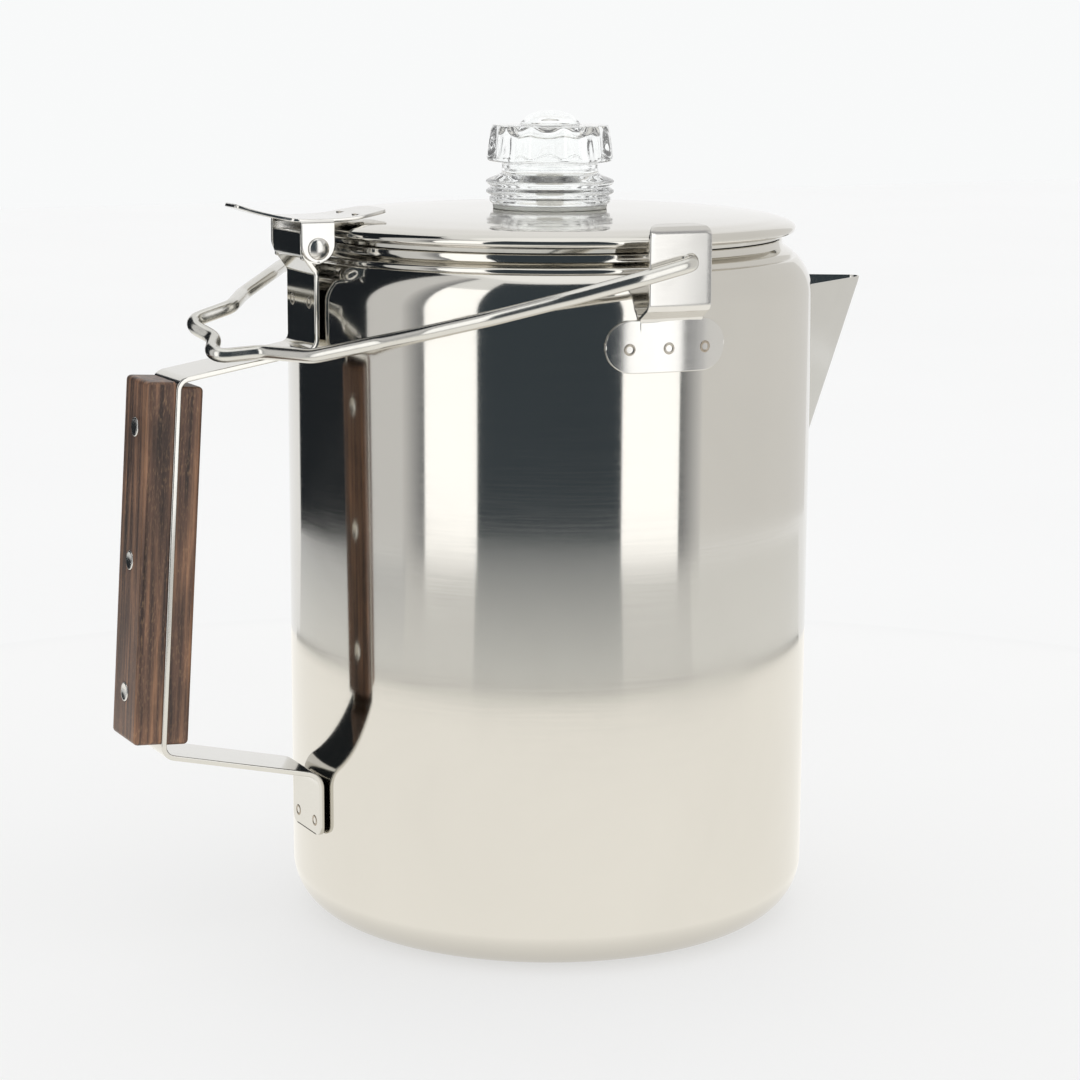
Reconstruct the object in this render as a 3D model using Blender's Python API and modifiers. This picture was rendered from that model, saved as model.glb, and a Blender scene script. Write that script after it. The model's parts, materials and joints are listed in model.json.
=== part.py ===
import bpy
import bmesh
import math
from mathutils import Matrix, Vector

# Coffee percolator for camp use. All sizes in millimetres, turned into metres by MM.
MM = 0.001

# ---- driving sizes --------------------------------------------------------------------
BODY_R = 75.0            # outside radius of the straight wall
BODY_WALL = 1.0
BASE_T = 1.2
BASE_CORNER = 15.0
WALL_TOP = 180.5         # where the straight wall ends and the shoulder begins
SHOULDER_R = 15.0
CREASE_STEP = 5.0        # from the wall in to the pressed line round the shoulder
NECK_STEP = 8.7          # from the wall in to the neck
NECK_H = 1.9             # neck standing above the shoulder
GAP = 0.3                # touching pieces
FIT = 0.45               # loose running fit

LID_OVER = 3.7           # lid reaching out past the neck
LID_SHEET = 0.9
LID_EDGE_H = 4.0
LID_RISE = 2.2           # centre of the dome above the top of the rolled edge
PLUG_DEPTH = 9.0         # skirt reaching down inside the neck
PLUG_CLEAR = 1.1

HINGE_OUT = 6.0          # hinge axis outside the lid's edge
HINGE_BELOW = 0.6        # hinge axis below the top of the neck rim
STRAP_W = 20.0
STRAP_T = 1.5
EAR_T = 1.0

ARM_REACH = 40.8         # wall to the top bend of the handle
ARM_BELOW = 26.6         # top arm, where it leaves the pot, below the bail's pivot
ARM_DROP = 6.6           # fall of the top arm from the pot to that bend
FOOT_REACH = 47.4        # wall to the low bend of the handle
FOOT_ARM_Z = 58.8
FOOT_DROP = 11.0         # fall of the low arm back to the pot
FOOT_LEN = 17.8
OUTER_OVER = -0.3        # outer scale standing past the top bend
OUTER_SHORT = 3.2        # outer scale stopping above the low bend
INNER_TOP = 1.5          # inner scale kept clear of the two arms
INNER_LOW = 3.0
RIVET_END = 13.2         # end of the outer scale to the first rivet
GRIP_W = 19.0
GRIP_OUT = 7.4
GRIP_IN = 6.2

BAIL_WIRE_R = 2.0
BAIL_BELOW = 1.4         # pivot of the bail below the top of the neck rim
BAIL_CLEAR = 0.8         # wire to the face of the ear
EAR_PLATE_W = 34.6
EAR_PLATE_H = 14.0
EAR_BELOW = 8.1          # middle of the ear plate below the top of the wall
EAR_SHIFT = -3.6         # ear plate centre along X, the hole stays over the pot's axis
TONGUE_W = 18.6
TONGUE_T = 1.2
TONGUE_OUT = 4.8         # wall to the middle of the tongue's sheet
TONGUE_UP = 8.6          # near tongue's bend above the bail's pivot
TONGUE_UP_FAR = 4.4      # the far one ends behind the lid

SPOUT_OVER = 0.1         # spout's lip above the top of the wall
SPOUT_H = 84.6
SPOUT_REACH = 32.8
SPOUT_HALF = 21.3
SPOUT_T = 1.0
HOLE_R = 2.1             # strainer holes behind the spout
HOLE_PITCH = 6.6
HOLE_ROW = 8.5
HOLE_EDGE = 5.5          # hole's centre to the edge of the spout

KNOB_R = 18.3
KNOB_H = 26.3
KNOB_NECK_R = 13.2
KNOB_WALL = 3.0

STEM_R = 4.0
STEM_WALL = 0.9
STEM_OVER = 8.3          # stem's end above the top of the lid
PUMP_FOOT_R = 31.0
PUMP_FOOT_H = 15.0
BASKET_R = 44.0
BASKET_H = 54.0
BASKET_DROP = 20.0       # basket's rim below the neck rim
BASKET_T = 0.9
COVER_T = 0.9

# ---- sizes that follow ----------------------------------------------------------------
CX = BODY_R - SHOULDER_R                                     # centre of the shoulder arc


def arcZ(r):
    return WALL_TOP + math.sqrt(SHOULDER_R ** 2 - (r - CX) ** 2)


CREASE_R = BODY_R - CREASE_STEP
NECK_R = BODY_R - NECK_STEP
LID_R = NECK_R + LID_OVER
NECK_Z = arcZ(NECK_R)
RIM_Z = NECK_Z + NECK_H                                      # top of the pot's rim
HINGE_X = -(LID_R + HINGE_OUT)
HINGE_Z = RIM_Z - HINGE_BELOW
LID_LOW = RIM_Z + GAP                                        # face the lid rests on
LID_EDGE_Z = LID_LOW + 1.2                                   # underside of the rolled edge
LID_TOP = LID_EDGE_Z + LID_EDGE_H + LID_RISE                 # flat middle of the lid
LUG_TOP = HINGE_Z + 4.4
BAIL_Z = RIM_Z - BAIL_BELOW                                  # pivot height of the bail
TONGUE_Y = BODY_R + TONGUE_OUT
BAIL_Y = TONGUE_Y + TONGUE_T / 2 + BAIL_CLEAR + BAIL_WIRE_R  # centre line of the wire at its pivot
ARM_X, ARM_Z = -(BODY_R + ARM_REACH), BAIL_Z - ARM_BELOW
FOOT_ARM_X, FOOT_Z = -(BODY_R + FOOT_REACH), FOOT_ARM_Z - FOOT_DROP
EAR_PLATE_Z = WALL_TOP - EAR_BELOW
SPOUT_TOP, SPOUT_TIP = WALL_TOP + SPOUT_OVER, BODY_R + SPOUT_REACH
SPOUT_BOTTOM = SPOUT_TOP - SPOUT_H
KNOB_BORE = KNOB_NECK_R - KNOB_WALL
STEM_BORE, STEM_TOP = STEM_R - STEM_WALL, LID_TOP + STEM_OVER
BASKET_Z = RIM_Z - BASKET_DROP - BASKET_H

# ---- scene ----------------------------------------------------------------------------
for old in list(bpy.data.objects):
    bpy.data.objects.remove(old, do_unlink=True)
parts = bpy.data.collections.new("Coffee percolator")
cutters = bpy.data.collections.new("Cutters")
bpy.context.scene.collection.children.link(parts)
bpy.context.scene.collection.children.link(cutters)


def material(name, colour, metallic, roughness, transmission=0.0, ior=1.45):
    m = bpy.data.materials.new(name)
    m.use_nodes = True
    s = m.node_tree.nodes["Principled BSDF"]
    s.inputs["Base Color"].default_value = (*colour, 1.0)
    s.inputs["Metallic"].default_value = metallic
    s.inputs["Roughness"].default_value = roughness
    s.inputs["Transmission Weight"].default_value = transmission
    s.inputs["IOR"].default_value = ior
    m.diffuse_color = (*colour, 1.0)
    return m


def steel(name, shade=0.62, roughness=0.12):
    return material(name, (shade, shade, shade * 0.98), 1.0, roughness)


def add(obj, mat=None, cutter=False):
    (cutters if cutter else parts).objects.link(obj)
    if cutter:
        obj.hide_render = True
        obj.display_type = "WIRE"
    elif mat is not None:
        obj.data.materials.append(mat)
    return obj


def smooth(obj):
    for p in obj.data.polygons:
        p.use_smooth = True
    return obj


def meshObject(name, verts, faces, edges=()):
    me = bpy.data.meshes.new(name)
    me.from_pydata([Vector(v) * MM for v in verts], list(edges), faces)
    me.update()
    return bpy.data.objects.new(name, me)


def moved(obj, shift):
    """Origin at shift (mm) while the surface stays where it was drawn."""
    v = Vector(shift) * MM
    obj.data.transform(Matrix.Translation(-v))
    obj.location = v
    return obj


def turned(name, profile, mat, steps=64, closed=True, cutter=False, axis="Z", at=(0, 0, 0)):
    """Profile of (radius, height), outer side drawn top to bottom, swept round the axis."""
    verts = [(r, 0, z) for r, z in profile]
    edges = [(i, i + 1) for i in range(len(verts) - 1)]
    if closed:
        edges.append((len(verts) - 1, 0))
    obj = meshObject(name, verts, [], edges)
    add(obj, mat, cutter)
    s = obj.modifiers.new("Screw", "SCREW")
    s.axis = "Z"
    s.steps = s.render_steps = steps
    s.use_merge_vertices = True
    s.merge_threshold = 0.00001
    s.use_smooth_shade = True
    if axis == "Y":
        obj.rotation_euler = (math.pi / 2, 0, 0)
    obj.location = Vector(at) * MM
    return obj


def baked(obj):
    """Same object with its modifiers made into plain mesh, for shaping that follows."""
    dg = bpy.context.evaluated_depsgraph_get()
    dg.update()
    me = bpy.data.meshes.new_from_object(obj.evaluated_get(dg))
    for m in list(obj.modifiers):
        obj.modifiers.remove(m)
    old = obj.data
    obj.data = me
    bpy.data.meshes.remove(old)
    return obj


def flat(name, outline, depth, mat=None, cutter=False):
    """Closed outline (x, y) as a plate centred on z = 0, depth thick."""
    cu = bpy.data.curves.new(name, "CURVE")
    cu.dimensions = "2D"
    cu.fill_mode = "BOTH"
    cu.extrude = depth * MM / 2
    sp = cu.splines.new("POLY")
    sp.points.add(len(outline) - 1)
    for p, (x, y) in zip(sp.points, outline):
        p.co = (x * MM, y * MM, 0, 1)
    sp.use_cyclic_u = True
    tmp = bpy.data.objects.new(name + "_outline", cu)
    bpy.context.scene.collection.objects.link(tmp)
    dg = bpy.context.evaluated_depsgraph_get()
    me = bpy.data.meshes.new_from_object(tmp.evaluated_get(dg))
    bpy.data.objects.remove(tmp, do_unlink=True)
    bpy.data.curves.remove(cu)
    bm = bmesh.new()
    bm.from_mesh(me)
    bmesh.ops.remove_doubles(bm, verts=bm.verts, dist=0.000001)
    bmesh.ops.recalc_face_normals(bm, faces=bm.faces)
    bm.to_mesh(me)
    bm.free()
    me.name = name
    return add(bpy.data.objects.new(name, me), mat, cutter)


def standing(obj, y):
    """Plate drawn as (x, z) turned upright, its middle at this y."""
    obj.data.transform(Matrix.Translation((0, y * MM, 0)) @ Matrix.Rotation(math.pi / 2, 4, "X"))
    return obj


def pins(name, spots, radius, length, sides=16):
    """One cutter made of round pins: each spot is (centre, direction)."""
    bm = bmesh.new()
    for centre, way in spots:
        turn = Vector((0, 0, 1)).rotation_difference(Vector(way)).to_matrix().to_4x4()
        bmesh.ops.create_cone(
            bm, cap_ends=True, segments=sides, radius1=radius * MM, radius2=radius * MM,
            depth=length * MM, matrix=Matrix.Translation(Vector(centre) * MM) @ turn)
    me = bpy.data.meshes.new(name)
    bm.to_mesh(me)
    bm.free()
    return add(bpy.data.objects.new(name, me), cutter=True)


def block(name, lo, hi, mat=None, cutter=True):
    bm = bmesh.new()
    size = [(b - a) * MM for a, b in zip(lo, hi)]
    mid = [(a + b) / 2 * MM for a, b in zip(lo, hi)]
    bmesh.ops.create_cube(bm, size=1.0, matrix=Matrix.Translation(mid) @ Matrix.Diagonal((*size, 1)))
    me = bpy.data.meshes.new(name)
    bm.to_mesh(me)
    bm.free()
    return add(bpy.data.objects.new(name, me), mat, cutter)


def cut(obj, tool, how="DIFFERENCE"):
    b = obj.modifiers.new(how.title(), "BOOLEAN")
    b.operation = how
    b.object = tool
    b.solver = "EXACT"
    return obj


def join(obj, tool):
    """Tool becomes part of obj; tool itself is kept with the cutters."""
    for c in list(tool.users_collection):
        c.objects.unlink(tool)
    add(tool, cutter=True)
    return cut(obj, tool, "UNION")


def rounded(path, radii, seg=5):
    """Corner points with each inner corner replaced by an arc."""
    out = [path[0]]
    for i in range(1, len(path) - 1):
        p, a, b = Vector(path[i]), Vector(path[i - 1]), Vector(path[i + 1])
        r = radii[i - 1]
        u, v = (a - p).normalized(), (b - p).normalized()
        ang = u.angle(v)
        if r <= 0 or ang > math.pi - 0.02:
            out.append(tuple(p))
            continue
        t = min(r / math.tan(ang / 2), 0.48 * (a - p).length, 0.48 * (b - p).length)
        r = t * math.tan(ang / 2)
        c = p + (u + v).normalized() * (r / math.sin(ang / 2))
        s, e = p + u * t - c, p + v * t - c
        turn = s.angle(e)
        w = (e - s * math.cos(turn)) / math.sin(turn)
        for k in range(seg + 1):
            f = turn * k / seg
            out.append(tuple(c + s * math.cos(f) + w * math.sin(f)))
    out.append(path[-1])
    return out


def arc(cx, cz, r, a0, a1, n):
    return [(cx + r * math.cos(math.radians(a0 + (a1 - a0) * k / n)),
             cz + r * math.sin(math.radians(a0 + (a1 - a0) * k / n))) for k in range(n + 1)]


# ---- materials ------------------------------------------------------------------------
bodySteel = steel("body steel")
wallR = BODY_R - BODY_WALL

# ---- pot body -------------------------------------------------------------------------
inCX, inSR = CX, SHOULDER_R - BODY_WALL
rise = math.degrees(math.acos((CREASE_R - CX) / SHOULDER_R))
neckA = math.degrees(math.acos((NECK_R - CX) / SHOULDER_R))
neckInA = math.degrees(math.acos(max(-1, min(1, (NECK_R - BODY_WALL - inCX) / inSR))))
outer = [(NECK_R - 0.25, RIM_Z), (NECK_R, RIM_Z - 0.3), (NECK_R, NECK_Z + 0.2)]
outer += arc(CX, WALL_TOP, SHOULDER_R, neckA, rise + 1.4, 2)
outer += [(CREASE_R - 0.25, arcZ(CREASE_R) - 0.15)]                     # pressed crease
outer += arc(CX, WALL_TOP, SHOULDER_R, rise - 0.6, 0, 5)
outer += arc(BODY_R - BASE_CORNER, BASE_CORNER, BASE_CORNER, 0, -90, 5) + [(0, 0)]
inner = [(0, BASE_T)]
inner += arc(BODY_R - BASE_CORNER, BASE_CORNER, BASE_CORNER - BODY_WALL, -90, 0, 4)
inner[1] = (inner[1][0], BASE_T)
inner += arc(inCX, WALL_TOP, inSR, 0, neckInA, 4)
inner += [(NECK_R - BODY_WALL, RIM_Z - 0.3), (NECK_R - BODY_WALL + 0.25, RIM_Z)]
inner[2] = (inner[2][0], max(inner[2][1], BASE_T + 0.15))
pot = turned("pot_body", inner + outer, bodySteel, steps=64, closed=False)
spots = []
for row in range(6):
    z = SPOUT_TOP - 8.6 - HOLE_ROW * row
    room = SPOUT_HALF * (z - SPOUT_BOTTOM) / SPOUT_H - HOLE_EDGE
    n = 1 + max(0, int(2 * room / HOLE_PITCH))
    for k in range(n):
        spots.append(((BODY_R - 0.5, (k - (n - 1) / 2) * HOLE_PITCH, z), (1, 0, 0)))
cut(pot, pins("strainer_holes", spots, HOLE_R, 12, 10))

# ---- spout ----------------------------------------------------------------------------
spoutCutR = BODY_R + GAP
sections = []
levels = 9
for k in range(levels):
    f = 0.03 + (1.05 - 0.03) * k / (levels - 1)
    z = SPOUT_BOTTOM + (SPOUT_TOP - SPOUT_BOTTOM) * f
    ridge = BODY_R + (SPOUT_TIP - BODY_R) * f
    half = SPOUT_HALF * f
    wx = math.sqrt(BODY_R ** 2 - min(half, BODY_R) ** 2)
    v = Vector((wx - ridge, half))
    tail = v.normalized() * 3.5
    noseR = 1.35 + 1.6 * f
    pts = rounded([(wx + tail.x, half + tail.y), (ridge, 0), (wx + tail.x, -half - tail.y)],
                  [noseR], seg=6)
    sections.append([(x, y, z) for x, y in pts])
verts = [p for s in sections for p in s]
n = len(sections[0])
faces = [(a * n + b, a * n + b + 1, (a + 1) * n + b + 1, (a + 1) * n + b)
         for a in range(levels - 1) for b in range(n - 1)]
spout = add(smooth(meshObject("spout", verts, faces)), steel("spout steel", 0.6, 0.16))
s = spout.modifiers.new("Sheet", "SOLIDIFY")
s.thickness = SPOUT_T * MM
s.offset = 1.0
s.use_even_offset = True
cut(spout, turned("spout_fit", [
    (0, SPOUT_TOP + 50), (spoutCutR, SPOUT_TOP + 50), (spoutCutR, SPOUT_BOTTOM - 36),
    (0, SPOUT_BOTTOM - 36)], None,
                  steps=96, closed=False, cutter=True))
cut(spout, block("spout_lip_level", (BODY_R - 15, -SPOUT_HALF - 20, SPOUT_TOP),
                 (SPOUT_TIP + 20, SPOUT_HALF + 20, SPOUT_TOP + 30)))

# ---- lid ------------------------------------------------------------------------------
plugR = NECK_R - BODY_WALL - PLUG_CLEAR
lidIn = plugR - LID_SHEET
edgeTop = LID_EDGE_Z + LID_EDGE_H
holeR = KNOB_NECK_R + 0.6
skirtLow = LID_LOW - PLUG_DEPTH
lidProfile = [
    (holeR, LID_TOP), (KNOB_R + 7.7, LID_TOP), (LID_R - 30, LID_TOP - 0.25),
    (LID_R - 18, LID_TOP - 0.7), (LID_R - 10, LID_TOP - 1.3), (LID_R - 6, edgeTop + 0.45),
    (LID_R - 3.4, edgeTop - 0.3),
    (LID_R - 1.5, edgeTop - 1.2), (LID_R - 0.35, edgeTop - 2.2), (LID_R, LID_EDGE_Z + 1.3),
    (LID_R - 0.5, LID_EDGE_Z + 0.4), (LID_R - 1.3, LID_EDGE_Z), (NECK_R - 0.4, LID_EDGE_Z - 0.1),
    (NECK_R - 0.45, LID_LOW), (plugR + 0.2, LID_LOW), (plugR, LID_LOW - 0.4),
    (plugR, skirtLow), (lidIn, skirtLow), (lidIn, LID_LOW + 0.2), (lidIn + 0.9, LID_LOW + 0.95),
    (LID_R - 1.9, LID_EDGE_Z + 0.95), (LID_R - 1.1, LID_EDGE_Z + 1.5), (LID_R - 1.6, edgeTop - 2.1),
    (LID_R - 4.2, edgeTop - 1.05), (LID_R - 10, LID_TOP - 1.3 - LID_SHEET),
    (LID_R - 30, LID_TOP - 0.25 - LID_SHEET), (KNOB_R + 7.7, LID_TOP - LID_SHEET),
    (holeR, LID_TOP - LID_SHEET)]
hinge = (HINGE_X, 0, HINGE_Z)
lid = moved(baked(turned("lid", lidProfile, steel("lid steel", 0.64, 0.1), steps=48)), hinge)

# ---- handle strap: hinge end, two arms, tang and foot in one strip ---------------------
WALL_X = -(BODY_R + GAP + STRAP_T / 2)
strapPath = rounded(
    [(HINGE_X - 4.0, LUG_TOP), (HINGE_X - 4.0, HINGE_Z - 1.4), (WALL_X, HINGE_Z - 6.6),
     (WALL_X, ARM_Z), (ARM_X, ARM_Z - ARM_DROP), (FOOT_ARM_X, FOOT_ARM_Z), (WALL_X, FOOT_Z),
     (WALL_X, FOOT_Z - FOOT_LEN)],
    [2.6, 2.6, 3.2, 3.2, 3.6, 4.6], seg=4)


def strip(name, path, width, thick, mat=None):
    """Sheet strip: path in X and Z, width along Y."""
    verts, faces = [], []
    for x, z in path:
        verts += [(x, -width / 2, z), (x, width / 2, z)]
    for i in range(len(path) - 1):
        faces.append((2 * i, 2 * i + 1, 2 * i + 3, 2 * i + 2))
    obj = add(meshObject(name, verts, faces), mat)
    s = obj.modifiers.new("Sheet", "SOLIDIFY")
    s.thickness = thick * MM
    s.offset = 0.0
    s.use_even_offset = True
    return obj


strap = strip("handle_strap", strapPath, STRAP_W, STRAP_T, steel("strap steel", 0.6, 0.14))
lug = [(HINGE_X - 4.5, LUG_TOP - 0.3), (HINGE_X, LUG_TOP - 0.3)]
lug += arc(HINGE_X, HINGE_Z, 4.4, 68, -80, 10)
lug += [(HINGE_X - 2.4, HINGE_Z - 4.4), (HINGE_X - 4.5, HINGE_Z - 2.0)]
for side, y in (("near", -1), ("far", 1)):
    join(strap, standing(flat("lug_" + side, lug, STRAP_T),
                         y * (STRAP_W / 2 - STRAP_T / 2 - 0.07)))
cut(strap, pins("hinge_holes", [((HINGE_X, 0, HINGE_Z), (0, 1, 0))], 1.6 + 0.3, 30, 20))

# frame of the grip: centre of the tang, Z along it, X pointing away from the pot
top = Vector((ARM_X, 0, ARM_Z - ARM_DROP))
low = Vector((FOOT_ARM_X, 0, FOOT_ARM_Z))
along = (top - low).normalized()
away = Vector((-along.z, 0, along.x))
side = along.cross(away)
gripLen = (top - low).length + OUTER_OVER - OUTER_SHORT
gripMid = low + along * (OUTER_SHORT + gripLen / 2)
GRIP = Matrix((
    (away.x, side.x, along.x, gripMid.x * MM), (away.y, side.y, along.y, gripMid.y * MM),
    (away.z, side.z, along.z, gripMid.z * MM), (0, 0, 0, 1)))


def onGrip(x, y, z):
    return tuple(gripMid + away * x + side * y + along * z)


rivetZ = [gripLen / 2 - RIVET_END, 0.0, RIVET_END - gripLen / 2]
gripSpots = [(onGrip(0, 0, z), tuple(away)) for z in rivetZ]
weldR = 1.4
strapWelds = [(WALL_X, y, z) for z in (HINGE_Z - 15.0, FOOT_Z - 13.8)
              for y in (4 - STRAP_W / 2, STRAP_W / 2 - 4)]
cut(strap, pins("tang_holes", gripSpots, 1.8 + GAP, 8, 20))
cut(strap, pins("strap_weld_holes", [(p, (1, 0, 0)) for p in strapWelds], weldR + GAP, 6, 12))

# ---- wooden grip ----------------------------------------------------------------------
wood = [material("outer grip wood", (0.09, 0.035, 0.02), 0.0, 0.45),
        material("inner grip wood", (0.085, 0.033, 0.02), 0.0, 0.45)]
start = STRAP_T / 2 + GAP
for k, (name, thick, way, z0, z1) in enumerate((
        ("outer_grip_scale", GRIP_OUT, 1, -gripLen / 2, gripLen / 2),
        ("inner_grip_scale", GRIP_IN, -1, INNER_LOW - OUTER_SHORT - gripLen / 2,
         gripLen / 2 - OUTER_OVER - INNER_TOP))):
    lo, hi = sorted((way * start, way * (start + thick)))
    obj = block(name, (lo, -GRIP_W / 2, z0), (hi, GRIP_W / 2, z1), wood[k], cutter=False)
    obj.matrix_world = GRIP
    b = obj.modifiers.new("Edges", "BEVEL")
    b.width = 1.3 * MM
    b.segments = 3
    cut(obj, pins(name + "_holes", [(onGrip(way * (start + thick / 2), 0, z), tuple(away))
                                    for z in rivetZ], 2.65 + GAP, thick + 4, 20))


def rivetProfile(shank, head, lowEnd, highEnd, rise, dish=0.5):
    """Pin with a full-size head at each end, a shallow dish in the middle of each."""
    return [(0, highEnd + rise - dish), (head * 0.42, highEnd + rise - dish * 0.85),
            (head * 0.55, highEnd + rise), (head * 0.85, highEnd + rise - 0.12),
            (head, highEnd + rise - 0.45), (head, highEnd - 1.6), (shank, highEnd - 1.9),
            (shank, lowEnd + 1.9), (head, lowEnd + 1.6), (head, lowEnd - rise + 0.45),
            (head * 0.85, lowEnd - rise + 0.12), (head * 0.55, lowEnd - rise),
            (head * 0.42, lowEnd - rise + dish * 0.85), (0, lowEnd - rise + dish)]


for k, z in enumerate(rivetZ):
    obj = turned("grip_rivet_%d" % (k + 1),
                 rivetProfile(1.8, 2.65, -start - GRIP_IN, start + GRIP_OUT, 0.25),
                 steel("grip rivet steel %d" % (k + 1), 0.7, 0.25), steps=16, closed=False)
    axis = Matrix((
        (side.x, along.x, away.x, onGrip(0, 0, z)[0] * MM),
        (side.y, along.y, away.y, onGrip(0, 0, z)[1] * MM),
        (side.z, along.z, away.z, onGrip(0, 0, z)[2] * MM), (0, 0, 0, 1)))
    obj.matrix_world = axis

# ---- hinge plate on the lid, folded ears, rivets ----------------------------------------
plateT = 1.0
lidAt = LID_TOP - 0.6
earIn = STRAP_W / 2 + GAP
earOut = earIn + EAR_T
plateLine = [                                                # from the hinge, rise, half width
    (-21.0, 4.2, 4.0), (-19.8, 3.8, 5.0), (-16.0, 2.6, 5.6), (-11.0, 1.3, 6.8),
    (-7.0, 0.5, earOut - 1.7), (-5.4, 0.25, earOut), (0.0, -0.1, earOut), (5.4, 0.0, earOut),
    (8.0, 0.15, earOut - 0.7), (12.0, 0.45, earOut - 0.9), (16.0, 1.1, earOut - 1.3),
    (20.0, 1.75, 9.0), (21.6, 1.95, 7.4), (22.2, 2.0, 5.0)]
cols = 6
verts, faces = [], []
for x, dz, half in plateLine:
    for c in range(cols + 1):
        verts.append((HINGE_X + x, half * (2 * c / cols - 1), lidAt - 0.2 + dz))
for a in range(len(plateLine) - 1):
    for b in range(cols):
        i = a * (cols + 1) + b
        faces.append((i, i + 1, i + cols + 2, i + cols + 1))
plate = add(meshObject("hinge_plate", verts, faces), steel("hinge plate steel", 0.62, 0.14))
s = plate.modifiers.new("Sheet", "SOLIDIFY")
s.thickness = plateT * MM
s.offset = 0.0
s.use_even_offset = True
earMid = earIn + EAR_T / 2
earHalf = 4.9
earTop = lidAt - 0.2
ear = [(HINGE_X - earHalf, earTop), (HINGE_X - earHalf, HINGE_Z + 1.2)]
ear += arc(HINGE_X, HINGE_Z + 1.2, earHalf, 190, 350, 12)
ear += [(HINGE_X + earHalf, HINGE_Z + 1.2), (HINGE_X + earHalf, earTop)]
for name, y in (("near", -1), ("far", 1)):
    join(plate, standing(flat("ear_" + name, ear, EAR_T), y * (earMid - 0.03)))
cut(plate, pins("ear_holes", [((HINGE_X, 0, HINGE_Z), (0, 1, 0))], 1.6 + GAP, 40, 20))
plateWelds = [(HINGE_X + 14.0, -5.5), (HINGE_X + 14.0, 5.5)]
cut(plate, pins("plate_weld_holes", [((x, y, lidAt + 0.8), (0, 0, 1)) for x, y in plateWelds],
                weldR + GAP, 6, 12))
moved(plate, hinge)
for name, y in (("near", -1), ("far", 1)):
    out = earOut + GAP
    inside = STRAP_W / 2 - STRAP_T - GAP
    prof = [(0, out + 1.0), (1.2, out + 0.95), (2.2, out + 0.6), (2.9, out), (1.6, out),
            (1.6, inside), (2.3, inside), (2.3, inside - 0.7), (0, inside - 0.7)]
    obj = turned("hinge_rivet_" + name, prof, steel("hinge rivet steel " + name, 0.7, 0.16),
                 steps=24, closed=False)
    obj.rotation_euler = (math.pi / 2 if y < 0 else -math.pi / 2, 0, 0)
    obj.location = Vector(hinge) * MM


def weld(name, base, way, length, mat):
    """Low round weld stud standing on base along way."""
    prof = [(0, length), (weldR * 0.7, length - 0.05), (weldR, length - 0.3), (weldR, 0), (0, 0)]
    obj = turned(name, prof, mat, steps=12, closed=False)
    obj.rotation_mode = "QUATERNION"
    obj.rotation_quaternion = Vector((0, 0, 1)).rotation_difference(Vector(way))
    obj.location = Vector(base) * MM
    return obj


for k, (x, y, z) in enumerate(strapWelds):
    wall = -math.sqrt(BODY_R ** 2 - (abs(y) - weldR) ** 2)
    label = "strap_weld_%d" % (k + 1)
    weld(label, (wall - GAP, y, z), (-1, 0, 0), -(WALL_X - STRAP_T / 2) + wall - GAP + 0.2,
         steel(label.replace("_", " ") + " steel", 0.66, 0.22))
for k, (x, y) in enumerate(plateWelds):
    label = "plate_weld_%d" % (k + 1)
    floor = LID_TOP - 1.3 + GAP
    weld(label, (x, y, floor), (0, 0, 1), 1.7, steel(label.replace("_", " ") + " steel", 0.66, 0.22))

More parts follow.
